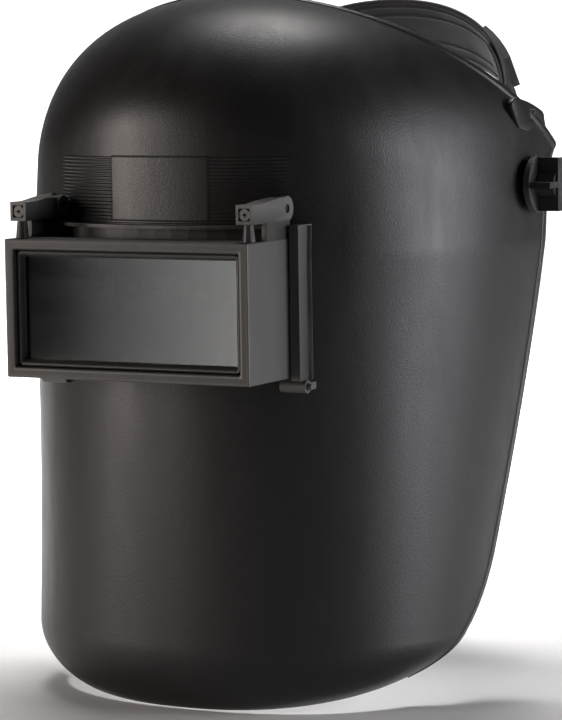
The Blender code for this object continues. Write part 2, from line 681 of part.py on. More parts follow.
def build_friction_units():
    """In each hollow arm: a plunger on the knuckle, its spring, and the plug that closes the socket."""
    centre_z = (ARM_BOTTOM + ARM_TOP) / 2
    plug_back = ARM_FRONT + 5.0
    plunger_front = -136.0
    for name, side in (("left", 1), ("right", -1)):
        x = side * (ARM_INNER_X + ARM_OUTER_X) / 2
        plug = add_cylinder("plunger_plug_" + name, 2.45, ARM_FRONT + 0.5, plug_back, "Y", (x, 0, centre_z),
                            "frame_black", sides=20)
        cut(plug, add_cylinder("dimple", 0.6, ARM_FRONT - 1, ARM_FRONT + 2, "Y", (x, 0, centre_z), sides=10))
        finish_shading(plug)
        add_cylinder("friction_plunger_" + name, 2.2, plunger_front, HINGE_Y - KNUCKLE_RADIUS - 0.4, "Y",
                     (x, 0, centre_z), "steel", sides=16)
        turns, steps = 5, 8
        length = plunger_front - plug_back - 2 * GAP - 0.6
        points = []
        for step in range(turns * steps + 1):
            angle = 2 * math.pi * step / steps
            points.append((x + 1.6 * math.cos(angle), plug_back + GAP + 0.3 + length * step / (turns * steps),
                           centre_z + 1.6 * math.sin(angle)))
        link_mesh("plunger_spring_" + name, wire_mesh(points, 0.3), "steel")


def ribbon_mesh(path, widths, thickness):
    """A band along a path of (point, width direction) pairs; the wall grows to the outside."""
    grid = [[Vector(point) - Vector(across) * width / 2 for (point, across), width in zip(path, widths)],
            [Vector(point) + Vector(across) * width / 2 for (point, across), width in zip(path, widths)]]
    return sheet_mesh(grid, thickness)


def front_band_path(offset, limit_degrees, tail, steps=20):
    """Round the forehead from the wearer's right to left, lifted at the front, then straight tails."""
    path = []
    for step in range(steps + 1):
        angle = math.radians(blend(-limit_degrees, limit_degrees, step / steps))
        point = ((BAND_HALF_X + offset) * math.sin(angle),
                 BAND_CENTRE_Y - (BAND_CENTRE_Y - BAND_FRONT_Y + offset) * math.cos(angle),
                 FOREHEAD_RISE * math.cos(angle) ** 2)
        path.append((point, (0, 0, 1)))
    if tail:
        path.insert(0, ((-BAND_HALF_X - offset, BAND_CENTRE_Y + tail, 0), (0, 0, 1)))
        path.append(((BAND_HALF_X + offset, BAND_CENTRE_Y + tail, 0), (0, 0, 1)))
    return path


def cut_band_holes(item, sides=(-1, 1)):
    for side in sides:
        low, high = sorted((side * 75, side * 100))
        cut(item, add_cylinder("bolt_hole", PIVOT_HOLE_RADIUS, low, high, "X", (0, 0, 0)))
        cut(item, add_cylinder("rivet_hole", 2.1, low, high, "X", (0, RIVET_Y, RIVET_Z), sides=12))


def build_headband_front():
    path = front_band_path(0.0, 90, BAND_TAIL)
    widths = [22.0] + [22.0 + 8.0 * math.cos(math.radians(blend(-90, 90, step / 20))) for step in range(21)]
    widths.append(22.0)
    band = link_mesh("headband_front", ribbon_mesh(path, widths, BAND_THICKNESS), "strap_black")
    cut_band_holes(band)
    finish_shading(band)
    sweat_path = front_band_path(-SWEATBAND_THICKNESS - GAP - 0.2, 62, 0)
    link_mesh("sweatband", ribbon_mesh(sweat_path, [34.0] * len(sweat_path), SWEATBAND_THICKNESS),
              "sweat_foam")


def rear_band_point(degrees, offset):
    angle = math.radians(degrees)
    x = (BAND_HALF_X + offset) * math.cos(angle)
    y = REAR_CENTRE_Y + (NAPE_Y - REAR_CENTRE_Y + 2.5) * math.sin(angle)
    return x, y, NAPE_Z * math.sin(angle)


def build_rear_bands():
    """Each rear band overlaps the front band's tail outside and ends beside the ratchet housing."""
    offset = BAND_THICKNESS + GAP
    for name, side in (("left", 1), ("right", -1)):
        path = [((BAND_HALF_X + offset, REAR_START_Y, 0), (0, 0, 1))]
        for step in range(11):
            x, y, z = rear_band_point(blend(0, 64, step / 10), offset)
            path.append(((x, y, z), (0, 0, 1)))
        path = [((side * point[0], point[1], point[2]), across) for point, across in path]
        if side < 0:
            path.reverse()
        band = link_mesh("headband_rear_" + name, ribbon_mesh(path, [20.0] * len(path), BAND_THICKNESS),
                         "strap_black")
        low, high = sorted((side * 75, side * 100))
        cut(band, add_cylinder("rivet_hole", 2.1, low, high, "X", (0, RIVET_Y, RIVET_Z), sides=12))
        finish_shading(band)


def strap_path(start, end, offset, steps):
    """Over the crown, leaning back; 0 is the wearer's left foot and 180 the right one."""
    path = []
    lean_y = STRAP_TOP[0] - STRAP_FOOT[0]
    lean_z = STRAP_TOP[1] - STRAP_FOOT[1]
    lean = math.hypot(lean_y, lean_z)
    across = (0, lean_z / lean, -lean_y / lean)
    for step in range(steps + 1):
        angle = math.radians(blend(start, end, step / steps))
        rise = math.copysign(abs(math.sin(angle)) ** STRAP_FULLNESS, math.sin(angle))
        reach = math.copysign(abs(math.cos(angle)) ** STRAP_FULLNESS, math.cos(angle))
        point = ((STRAP_HALF_X + offset) * reach, STRAP_FOOT[0] + (lean_y + offset * lean_y / lean) * rise,
                 STRAP_FOOT[1] + (lean_z + offset * lean_z / lean) * rise)
        path.append((point, across))
    return path


def strap_widths(start, end, steps, narrower):
    """Widest over the crown, narrower towards the feet."""
    angles = [math.radians(blend(start, end, step / steps)) for step in range(steps + 1)]
    return [blend(STRAP_WIDTH, STRAP_CROWN_WIDTH, math.sin(angle) ** 2) - narrower for angle in angles]


def build_crown_strap():
    """Two straps that overlap on the left side, held by a clip over both."""
    layer = STRAP_THICKNESS + GAP
    for name, start, end, offset, steps, narrower, thickness, material in (
            ("crown_strap_right", 24, 183, 0.0, 24, 0.0, STRAP_THICKNESS, "strap_black"),
            ("crown_strap_left", -3, 46, -layer, 9, 4.0, STRAP_THICKNESS, "strap_black"),
            ("crown_clip", 39, 57, layer, 4, 11.0, 3.2, "knob_black")):
        path = strap_path(start, end, offset, steps)
        widths = strap_widths(start, end, steps, narrower)
        strap = link_mesh(name, ribbon_mesh(path, widths, -thickness), material)
        if name != "crown_clip":
            low, high = sorted((-95, -70)) if name.endswith("right") else (70, 95)
            cut(strap, add_cylinder("rivet_hole", 2.1, low, high, "X", (0, RIVET_Y, RIVET_Z), sides=12))
        finish_shading(strap)


def build_strap_rivets():
    """Each rivet holds the crown strap's foot, the front band's tail and the rear band together."""
    outside = BAND_HALF_X + 2 * BAND_THICKNESS + 2 * GAP
    for name, side, layers in (("left", 1, 1), ("right", -1, 0)):
        inside = STRAP_HALF_X - layers * (STRAP_THICKNESS + GAP) - 2 * GAP
        low, high = sorted((side * (inside - 0.5), side * (outside + 0.5)))
        rivet = add_cylinder("strap_rivet_" + name, 1.7, low, high, "X", (0, RIVET_Y, RIVET_Z), "steel",
                             sides=12)
        for head in ((inside - 1.5, inside), (outside + 0.1, outside + 1.5)):
            low, high = sorted((side * head[0], side * head[1]))
            join(rivet, add_cylinder("head", 4.0, low, high, "X", (0, RIVET_Y, RIVET_Z), sides=16))
        finish_shading(rivet)


def build_pivots():
    """From the head outwards: bolt, spacer with its stop, tilt lever, shell, washer and knob."""
    band_outer = BAND_HALF_X + BAND_THICKNESS + GAP
    lever_inner = 102.6
    lever_outer = 104.6
    shell_inner = SHELL_HALF_WIDTH - SHELL_WALL - 3.4
    washer_inner = SHELL_HALF_WIDTH + GAP
    knob_inner = washer_inner + 1.0 + GAP
    for name, side in (("left", 1), ("right", -1)):
        def along(low, high):
            return sorted((side * low, side * high))

        bolt = add_cylinder("pivot_bolt_" + name, 3.8, *along(BAND_HALF_X - 2.4, 121.0), "X", (0, 0, 0),
                            "steel")
        join(bolt, add_cylinder("head", 7.0, *along(BAND_HALF_X - 3.2, BAND_HALF_X - 1.4), "X", (0, 0, 0)))
        finish_shading(bolt)
        spacer = add_cylinder("tilt_stop_" + name, 9.0, *along(band_outer, lever_inner - GAP), "X", (0, 0, 0),
                              "strap_black")
        stop_back = -1.6
        low, high = along(96.0, lever_inner - GAP)
        join(spacer, add_box("stop_root", (low, -7.5, 3.0), (high, stop_back, 17.0)))
        low, high = along(lever_inner - 2.0, lever_outer)
        join(spacer, add_box("stop_tab", (low, -7.5, 10.6), (high, stop_back, 17.0)))
        cut(spacer, add_cylinder("bore", PIVOT_HOLE_RADIUS, *along(80, 110), "X", (0, 0, 0)))
        finish_shading(spacer)
        lever = add_cylinder("tilt_lever_" + name, 9.0, *along(lever_inner, shell_inner), "X", (0, 0, 0),
                             "frame_black")
        slope = Vector((PEG_Y, PEG_Z)).normalized()
        square = Vector((slope.y, -slope.x)) * 3.4
        tip = slope * (Vector((PEG_Y, PEG_Z)).length + 3.0)
        arm_outline = [tuple(-square), tuple(square), tuple(tip + square), tuple(tip - square)]
        low, high = along(lever_inner, lever_outer)
        join(lever, link_mesh("lever_arm", outline_mesh(arm_outline, high - low, "X"), None,
                              ((low + high) / 2, 0, 0)))
        low, high = along(lever_outer - 0.5, LUG_OUTER_X - 1.2)
        join(lever, add_box("peg", (low, PEG_Y - 1.7, PEG_Z - 1.7), (high, PEG_Y + 1.7, PEG_Z + 1.7)))
        cut(lever, add_cylinder("bore", PIVOT_HOLE_RADIUS, *along(95, 115), "X", (0, 0, 0)))
        finish_shading(lever)
        washer = add_cylinder("friction_washer_" + name, 10.0, *along(washer_inner, washer_inner + 1.0), "X",
                              (0, 0, 0), "rubber_black")
        cut(washer, add_cylinder("bore", PIVOT_HOLE_RADIUS, *along(110, 120), "X", (0, 0, 0)))
        finish_shading(washer)
        build_tension_knob(name, side, knob_inner)


def build_tension_knob(name, side, inner):
    """A disc with a round hub and cross-shaped finger fins, screwed on the pivot bolt."""
    disc_outer = inner + 2.6
    fin_outer = inner + 12.0

    def along(low, high):
        return sorted((side * low, side * high))

    knob = add_cylinder("tension_knob_" + name, KNOB_RADIUS, *along(inner, disc_outer), "X", (0, 0, 0),
                        "knob_black", sides=36)
    join(knob, add_cylinder("hub", 5.6, *along(disc_outer - 0.5, fin_outer - 1.0), "X", (0, 0, 0)))
    low, high = along(disc_outer - 0.5, fin_outer)
    join(knob, add_box("upright_fin", (low, -2.4, -11.6), (high, 2.4, 11.6)))
    join(knob, add_box("level_fin", (low, -11.4, -1.3), (high, 11.4, 1.3)))
    cut(knob, add_cylinder("thread", PIVOT_HOLE_RADIUS, *along(inner - 3, 122.0), "X", (0, 0, 0)))
    finish_shading(knob)


def gear_outline():
    """Ten straight-flanked teeth, one pointing up and one down."""
    points = []
    for tooth in range(PINION_TEETH):
        middle = math.pi / 2 + 2 * math.pi * tooth / PINION_TEETH
        for turn, radius in ((-0.21, PINION_RADIUS - 1.4), (-0.085, PINION_RADIUS + TOOTH_HEIGHT - 0.2),
                             (0.085, PINION_RADIUS + TOOTH_HEIGHT - 0.2), (0.21, PINION_RADIUS - 1.4)):
            points.append((radius * math.cos(middle + turn), radius * math.sin(middle + turn)))
    return points


def rack_outline(start, end):
    """A strip whose teeth point down at the pinion, with a gap over its centre line."""
    pitch = 2 * math.pi * PINION_RADIUS / PINION_TEETH
    root = PINION_RADIUS + TOOTH_HEIGHT + 0.4
    tip = PINION_RADIUS - TOOTH_HEIGHT + 0.4
    points = [(end, root + 3.0), (start, root + 3.0), (start, root)]
    count = int((end - start) / pitch)
    first = math.ceil((start + 1.0) / pitch - 0.5)
    for index in range(first, first + count):
        middle = (index + 0.5) * pitch
        if middle + 1.0 > end:
            break
        points += [(middle - 0.95, root), (middle - 0.35, tip), (middle + 0.35, tip), (middle + 0.95, root)]
    points.append((end, root))
    return points


def build_ratchet():
    """Knob, pinion and two racks in a channel behind the nape."""
    housing_half_x, housing_half_z = 30.0, 15.0
    channel_half_z = 11.2
    floor = NAPE_Y + 3.4
    back = NAPE_Y + 6.0
    housing = add_box("ratchet_housing", (-housing_half_x, NAPE_Y - 0.4, NAPE_Z - housing_half_z),
                      (housing_half_x, back, NAPE_Z + housing_half_z), "strap_black")
    cut(housing, add_box("channel", (-40, NAPE_Y - 5, NAPE_Z - channel_half_z),
                         (40, floor, NAPE_Z + channel_half_z)))
    cut(housing, add_cylinder("shaft_hole", 3.5, floor - 2, back + 2, "Y", (0, 0, NAPE_Z)))
    finish_shading(housing)
    add_box("ratchet_cover", (-housing_half_x, NAPE_Y - 3.0, NAPE_Z - housing_half_z),
            (housing_half_x, NAPE_Y - 0.4 - GAP, NAPE_Z + housing_half_z), "strap_black", bevel=0.5)
    pinion = link_mesh("ratchet_pinion", outline_mesh(gear_outline(), 2.6, "Y"), "frame_black",
                       (0, NAPE_Y + 1.4, NAPE_Z))
    join(pinion, add_cylinder("shaft", 3.1, NAPE_Y + 2.0, back + 3.5, "Y", (0, 0, NAPE_Z)))
    finish_shading(pinion)
    for name, side in (("left", 1), ("right", -1)):
        mesh = outline_mesh(rack_outline(-9.0, 52.0), 2.2, "Y")
        rack = link_mesh("rack_" + name, mesh, "strap_black", (0, NAPE_Y + 1.4, NAPE_Z), smooth=False)
        if side < 0:
            rack.rotation_euler = (0.0, math.pi, 0.0)
    knob_start = back + 0.5
    knob = add_cylinder("ratchet_knob", 12.5, knob_start, knob_start + 9.0, "Y", (0, 0, NAPE_Z), "knob_black",
                        sides=36, end_radius=11.5)
    for index in range(12):
        angle = 2 * math.pi * index / 12
        place = (13.0 * math.cos(angle), 0, NAPE_Z + 13.0 * math.sin(angle))
        cut(knob, add_cylinder("grip", 1.7, knob_start - 2, knob_start + 12, "Y", place, sides=10))
    cut(knob, add_cylinder("shaft_socket", 3.1 + GAP, knob_start - 2, back + 3.5 + GAP, "Y", (0, 0, NAPE_Z)))
    finish_shading(knob)


def build_nape_pad():
    pad = add_box("nape_pad", (-34, NAPE_Y - 9.0, NAPE_Z - 16), (34, NAPE_Y - 3.0 - GAP, NAPE_Z + 16),
                  "sweat_foam", bevel=2.0)
    finish_shading(pad)


def main():
    reset_scene()
    build_shell()
    build_lens_holder_base()
    build_base_clamp_frame()
    build_base_screws()
    build_flip_frame()
    build_glass()
    build_hinge_and_latch_pins()
    build_friction_units()
    build_headband_front()
    build_rear_bands()
    build_crown_strap()
    build_strap_rivets()
    build_pivots()
    build_ratchet()
    build_nape_pad()


main()
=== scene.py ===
"""Looks of the welding helmet: fine moulded surfaces, materials, soft pads, studio and camera."""
import json
import math

import bmesh
import bpy
from mathutils import Matrix, Vector


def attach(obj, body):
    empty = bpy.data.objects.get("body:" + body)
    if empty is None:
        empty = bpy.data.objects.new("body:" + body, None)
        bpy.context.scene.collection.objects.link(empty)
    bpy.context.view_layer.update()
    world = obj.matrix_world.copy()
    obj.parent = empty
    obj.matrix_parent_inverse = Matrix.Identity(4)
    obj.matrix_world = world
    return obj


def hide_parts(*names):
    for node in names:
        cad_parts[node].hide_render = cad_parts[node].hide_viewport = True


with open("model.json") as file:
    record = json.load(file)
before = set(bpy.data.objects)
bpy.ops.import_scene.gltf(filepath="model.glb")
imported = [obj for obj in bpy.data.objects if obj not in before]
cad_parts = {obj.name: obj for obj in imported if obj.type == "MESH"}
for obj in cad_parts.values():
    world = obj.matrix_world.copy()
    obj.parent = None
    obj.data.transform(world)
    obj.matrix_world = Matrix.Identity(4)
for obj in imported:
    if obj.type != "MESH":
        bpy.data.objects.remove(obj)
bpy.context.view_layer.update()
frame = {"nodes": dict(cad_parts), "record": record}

MM = 0.001

# shell form, as in the CAD model (millimetres)
SHELL_HALF_WIDTH = 113.5
CHIN_HALF_WIDTH = 101.5
SHELL_FRONT = -128.0
CHIN_Z = -218.8
CHIN_ROUND = 28.8
CHIN_TUCK = 12.8
CROWN_Z = 84.0
CROWN_Y = -56.0
DOME_START_Z = -25.0
DOME_TANGENT_Z = 26.0
DOME_POWER = 1.91
SECTION_POWER = 2.3
CROWN_SECTION_POWER = 1.95
EAR_Z = 16.0
SIDE_BOTTOM_Z = -200.0
REAR_EDGE_Y = 17.5
REAR_SWEEP = 53.4
REAR_SWEEP_POWER = 1.5
EAR_FLARE = 9.5
CORNER_START_Z = -158.0
CORNER_HEIGHT = 42.1
CORNER_DEPTH = 35.0
SHELL_WALL = 2.5
BOX_Z = -45.6
WINDOW_HALF_X = 49.0
WINDOW_HALF_Z = 21.6
PIVOT_HOLE_RADIUS = 4.2
PEG_Y = 6.0
PEG_Z = 29.7
LUG_INNER_X = 109.7
LUG_OUTER_X = 112.3
LUG_OUTLINE = ((-12.6, 33.5), (-12.8, 35.4), (-11.0, 37.2), (-8.0, 37.7), (-3.7, 37.0),
               (2.0, 35.8), (7.0, 34.4), (12.0, 32.8), (16.0, 31.3), (17.9, 29.6), (17.8, 28.0),
               (18.9, 25.2), (20.0, 21.0), (6.0, 22.0), (-6.6, 24.6))
LUG_LEAN = 0.055                # the tab's face comes in towards its front
CROWN_BEAD_RISE = 1.3
CROWN_BEAD_SINK = 0.4           # deeper at the very top, to stay level with the crown
SHELL_COLUMNS = 168
SHELL_ROWS = 156

# moulded brow: a plain panel between fields of ribs
PANEL_HALF_X = 24.0
PANEL_LOW = -10.5
PANEL_HIGH = 17.2
PANEL_RISE = 0.40
RIBS_HALF_X = 62.0
RIBS_LOW = -11.5
RIBS_HIGH = 17.5
RIB_PITCH = 1.5
RIB_RISE = 0.28

# front of the lens box: steps inwards and forwards round the bezel and the rim's lip
BEZEL_HALF_X = 53.3
BEZEL_HALF_Z = 24.4
BEZEL_Y = -153.1
BEZEL_PROFILE = ((0.0, 0.0), (0.0, 1.0), (0.3, 1.7), (0.8, 2.0), (1.3, 1.9), (1.8, 1.5), (2.3, 0.8),
                 (2.7, 0.1), (2.7, -0.9), (0.0, -0.9))
LIP_HALF_X = 54.8
LIP_HALF_Z = 25.9
LIP_Y = -157.0
LIP_PROFILE = ((-0.6, -2.0), (-0.6, -0.05), (0.7, -0.05), (1.05, -0.25), (1.25, -0.7), (1.3, -2.0))

# headgear, as in the CAD model
BAND_HALF_X = 86.0
BAND_FRONT_Y = -72.0
BAND_CENTRE_Y = 4.0
FOREHEAD_RISE = 20.0
STRAP_HALF_X = 82.0
STRAP_FOOT = (30.0, 4.0)
STRAP_TOP = (107.0, 67.5)
STRAP_FULLNESS = 0.92
STRAP_WIDTH = 24.0
STRAP_CROWN_WIDTH = 34.0
STRAP_THICKNESS = 1.8
STRAP_GAP = 0.35
STRAP_RIDGE = 0.5               # height of the ridges moulded along the strap
STRAP_REAR_FLARE = 3.0          # extra width at the rear of the strap's shoulders
STRAP_SECTION_STEPS = 60
NAPE_PAD_Y = 98.6               # face of the pad that touches the head
NAPE_PAD_Z = -28.0
NAPE_PAD_HALF_X = 32.6
NAPE_PAD_HALF_Z = 14.6
NAPE_PAD_CORNER = 4.0
NAPE_PAD_STEPS = 12             # points round each corner of the pad's edge
THREAD_RADIUS = 0.24

REPLACED = {"shell", "front_bezel", "sweatband", "nape_pad", "crown_strap_left", "crown_strap_right"}
ROUNDING = {"flip_frame": 0.5, "lens_holder_base": 0.4, "headband_front": 0.5, "headband_rear_left": 0.5,
            "headband_rear_right": 0.5,
            "tension_knob_left": 0.6, "tension_knob_right": 0.6, "ratchet_knob": 0.4,
            "ratchet_housing": 0.8, "ratchet_cover": 0.6, "crown_clip": 0.8}

# camera: aimed at a point of the helmet from 1.5 m, at the angle of an ordinary product view
CAMERA_AZIMUTH = 28.47
CAMERA_ELEVATION = 5.58
CAMERA_ROLL = 0.94
CAMERA_AIM = Vector((0.0, -0.040, -0.070))
CAMERA_DISTANCE = 1.5
CAMERA_LENS = 169.5
CAMERA_SHIFT = (0.0283, -0.02175)
FLOOR_Z = -0.2195
STUDIO_WHITE = (1.0, 0.98, 0.97)
NARROW_SPREAD = 65              # degrees, keeps the lights behind off the helmet's edges
LENS_STRIPS = 14
LENS_GLOW = 0.023               # power of the brightest strip seen in the glass, in watts


def blend(a, b, t):
    return a + (b - a) * t


def ease(t):
    t = min(1.0, max(0.0, t))
    return t * t * (3 - 2 * t)


# ---------------------------------------------------------------- mesh helpers

def link(name, mesh, body, material=None, smooth_angle=40):
    """Link a mesh in metres as a piece of the object that rides on a body."""
    piece = bpy.data.objects.new(name, mesh)
    bpy.context.scene.collection.objects.link(piece)
    if material:
        mesh.materials.clear()
        mesh.materials.append(material)
    mesh.shade_smooth()
    mesh.set_sharp_from_angle(angle=math.radians(smooth_angle))
    if body:
        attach(piece, body)
    return piece


def apply_modifiers(piece):
    graph = bpy.context.evaluated_depsgraph_get()
    mesh = bpy.data.meshes.new_from_object(piece.evaluated_get(graph))
    piece.modifiers.clear()
    piece.data = mesh


def grid_mesh(grid, thickness):
    """A sheet through a grid of points in mm, given a wall; a negative wall grows inwards."""
    columns = len(grid[0])
    bm = bmesh.new()
    rows = [[bm.verts.new(Vector(point) * MM) for point in line] for line in grid]
    for low, high in zip(rows, rows[1:]):
        for column in range(columns - 1):
            bm.faces.new((low[column], low[column + 1], high[column + 1], high[column]))
    mesh = bpy.data.meshes.new("sheet")
    bm.to_mesh(mesh)
    bm.free()
    piece = bpy.data.objects.new("sheet", mesh)
    bpy.context.scene.collection.objects.link(piece)
    wall = piece.modifiers.new("wall", "SOLIDIFY")
    wall.thickness = abs(thickness) * MM
    wall.offset = 1.0 if thickness > 0 else -1.0
    wall.use_even_offset = True
    apply_modifiers(piece)
    made = piece.data
    bpy.data.objects.remove(piece, do_unlink=True)
    return made


def box_cutter(low, high):
    bm = bmesh.new()
    bmesh.ops.create_cube(bm, size=1.0)
    bmesh.ops.scale(bm, vec=(Vector(high) - Vector(low)) * MM, verts=bm.verts)
    bmesh.ops.translate(bm, vec=(Vector(high) + Vector(low)) * MM / 2, verts=bm.verts)
    mesh = bpy.data.meshes.new("cutter")
    bm.to_mesh(mesh)
    bm.free()
    return mesh


def tube_cutter(radius, start, end, axis, centre, sides=32):
    bm = bmesh.new()
    bmesh.ops.create_cone(bm, cap_ends=True, segments=sides, radius1=radius * MM, radius2=radius * MM,
                          depth=(end - start) * MM)
    bmesh.ops.translate(bm, vec=(0, 0, (start + end) / 2 * MM), verts=bm.verts)
    turn = {"X": Matrix.Rotation(math.pi / 2, 3, "Y"), "Y": Matrix.Rotation(-math.pi / 2, 3, "X"),
            "Z": Matrix.Identity(3)}[axis]
    bmesh.ops.rotate(bm, cent=(0, 0, 0), matrix=turn, verts=bm.verts)
    bmesh.ops.translate(bm, vec=Vector(centre) * MM, verts=bm.verts)
    mesh = bpy.data.meshes.new("cutter")
    bm.to_mesh(mesh)
    bm.free()
    return mesh


def boolean(piece, mesh, operation="DIFFERENCE"):
    tool = bpy.data.objects.new("tool", mesh)
    bpy.context.scene.collection.objects.link(tool)
    step = piece.modifiers.new("step", "BOOLEAN")
    step.operation = operation
    step.solver = "EXACT"
    step.object = tool
    apply_modifiers(piece)
    bpy.data.objects.remove(tool, do_unlink=True)


# ---------------------------------------------------------------- materials

def new_material(name):
    made = bpy.data.materials.new(name)
    made.use_nodes = True
    nodes = made.node_tree.nodes
    return made, nodes, made.node_tree.links, nodes["Principled BSDF"]


def noise(nodes, links, scale, detail=4.0, roughness=0.55, stretch=None):
    """Noise in object space; scale is in cycles per metre."""
    place = nodes.new("ShaderNodeTexCoord")
    made = nodes.new("ShaderNodeTexNoise")
    made.inputs["Scale"].default_value = scale
    made.inputs["Detail"].default_value = detail
    made.inputs["Roughness"].default_value = roughness
    source = place.outputs["Object"]
    if stretch:
        mapping = nodes.new("ShaderNodeMapping")
        mapping.inputs["Scale"].default_value = stretch
        links.new(source, mapping.inputs["Vector"])
        source = mapping.outputs["Vector"]
    links.new(source, made.inputs["Vector"])
    return made.outputs["Fac"]


def ramp(nodes, links, source, stops):
    """A colour ramp; stops are (position, grey or RGB)."""
    made = nodes.new("ShaderNodeValToRGB")
    elements = made.color_ramp.elements
    while len(elements) < len(stops):
        elements.new(0.5)
    for element, (position, colour) in zip(elements, stops):
        element.position = position
        element.color = (colour, colour, colour, 1) if isinstance(colour, float) else (*colour, 1)
    links.new(source, made.inputs["Fac"])
    return made.outputs["Color"]


def painted_edge_highlight(nodes, links, low=0.52, high=0.60):
    """Painted highlight: bright on convex edges, from the mesh's own pointiness."""
    geometry = nodes.new("ShaderNodeNewGeometry")
    return ramp(nodes, links, geometry.outputs["Pointiness"], [(low, 0.0), (high, 1.0)])


def mix_colour(nodes, links, factor, first, second):
    made = nodes.new("ShaderNodeMix")
    made.data_type = "RGBA"
    links.new(factor, made.inputs["Factor"])
    for socket, value in ((made.inputs["A"], first), (made.inputs["B"], second)):
        if isinstance(value, tuple):
            socket.default_value = (*value, 1)
        else:
            links.new(value, socket)
    return made.outputs["Result"]


def bump(nodes, links, shader, height, distance, strength=1.0, below=None):
    made = nodes.new("ShaderNodeBump")
    made.inputs["Distance"].default_value = distance
    made.inputs["Strength"].default_value = strength
    links.new(height, made.inputs["Height"])
    if below:
        links.new(below, made.inputs["Normal"])
    links.new(made.outputs["Normal"], shader.inputs["Normal"])
    return made.outputs["Normal"]


def moulded_plastic(name, dark, light, roughness, grain_scale, grain_depth, speck_and_edge_highlight=(0.10, 0.098, 0.095),
                    rough_spread=0.06, scuff_depth=0.00003):
    """Moulded plastic: stipple grain, uneven tone, faint scuffs and a painted highlight that lightens the
    convex edges.
    """
    made, nodes, links, shader = new_material(name)
    tone = noise(nodes, links, 14.0, 3.0)
    scuffs = noise(nodes, links, 60.0, 6.0, 0.7, (1.0, 1.0, 0.25))
    grain = noise(nodes, links, grain_scale, 2.0, 0.6)
    base = mix_colour(nodes, links, ramp(nodes, links, tone, [(0.35, 0.0), (0.68, 1.0)]), dark, light)
    # the third colour lightens the grain specks, which is real grain tone
    speck = ramp(nodes, links, grain, [(0.45, 0.0), (0.75, 0.35)])
    base = mix_colour(nodes, links, speck, base, speck_and_edge_highlight)
    # painted highlight: convex edges are mixed towards the pale third colour
    base = mix_colour(nodes, links, painted_edge_highlight(nodes, links), base, speck_and_edge_highlight)
    links.new(base, shader.inputs["Base Color"])
    stops = [(0.30, roughness - rough_spread), (0.72, roughness + rough_spread)]
    links.new(ramp(nodes, links, scuffs, stops), shader.inputs["Roughness"])
    coarse = bump(nodes, links, shader, scuffs, scuff_depth, 0.4)
    bump(nodes, links, shader, grain, grain_depth, 1.0, coarse)
    shader.inputs["Specular IOR Level"].default_value = 0.5
    return made


def glass_plate(name, colour, alpha_like, roughness=0.035):
    """A polished plate with a few fine scratches; dark plates stay nearly opaque."""
    made, nodes, links, shader = new_material(name)
    scratches = noise(nodes, links, 260.0, 5.0, 0.75, (0.06, 1.0, 1.0))
    haze = noise(nodes, links, 22.0, 3.0)
    links.new(ramp(nodes, links, scratches, [(0.45, roughness), (0.75, roughness + 0.06)]),
              shader.inputs["Roughness"])
    links.new(mix_colour(nodes, links, ramp(nodes, links, haze, [(0.4, 0.0), (0.7, 1.0)]), colour,
                         tuple(channel * 1.12 for channel in colour)), shader.inputs["Base Color"])
    shader.inputs["Transmission Weight"].default_value = alpha_like
    shader.inputs["IOR"].default_value = 1.5
    return made


def plated_steel(name, bright, dull):
    """Drawn steel: fine lines along its length, duller spots and uneven roughness."""
    made, nodes, links, shader = new_material(name)
    brushed = noise(nodes, links, 900.0, 4.0, 0.6, (0.15, 1.0, 1.0))
    spots = noise(nodes, links, 180.0, 4.0)
    links.new(mix_colour(nodes, links, ramp(nodes, links, spots, [(0.4, 0.0), (0.7, 1.0)]),
                         bright, dull), shader.inputs["Base Color"])
    links.new(ramp(nodes, links, brushed, [(0.3, 0.24), (0.75, 0.42)]), shader.inputs["Roughness"])
    shader.inputs["Metallic"].default_value = 1.0
    bump(nodes, links, shader, brushed, 0.00002, 0.6)
    return made


def woven_foam(name, thread=0.0009):
    """Brushed knit over foam: crossing threads, fuzz in the tone and soft sheen."""
    made, nodes, links, shader = new_material(name)
    place = nodes.new("ShaderNodeTexCoord")
    waves = []
    for direction in ("X", "Z"):
        wave = nodes.new("ShaderNodeTexWave")
        wave.bands_direction = direction
        wave.inputs["Scale"].default_value = 0.31416 / thread / 2
        wave.inputs["Distortion"].default_value = 1.2
        wave.inputs["Detail"].default_value = 1.0
        links.new(place.outputs["Object"], wave.inputs["Vector"])
        waves.append(wave.outputs["Fac"])
    weave = nodes.new("ShaderNodeMath")
    weave.operation = "MULTIPLY"
    links.new(waves[0], weave.inputs[0])
    links.new(waves[1], weave.inputs[1])
    fuzz = noise(nodes, links, 2200.0, 3.0)
    tone = noise(nodes, links, 30.0, 3.0)
    base = mix_colour(nodes, links, ramp(nodes, links, tone, [(0.35, 0.0), (0.7, 1.0)]),
                      (0.022, 0.021, 0.021), (0.040, 0.038, 0.037))
    base = mix_colour(nodes, links, weave.outputs["Value"], base, (0.065, 0.062, 0.060))
    links.new(base, shader.inputs["Base Color"])
    links.new(ramp(nodes, links, fuzz, [(0.3, 0.80), (0.7, 0.96)]), shader.inputs["Roughness"])
    shader.inputs["Sheen Weight"].default_value = 0.35
    shader.inputs["Sheen Roughness"].default_value = 0.5
    coarse = bump(nodes, links, shader, weave.outputs["Value"], 0.0003, 0.9)
    bump(nodes, links, shader, fuzz, 0.0001, 0.5, coarse)
    return made
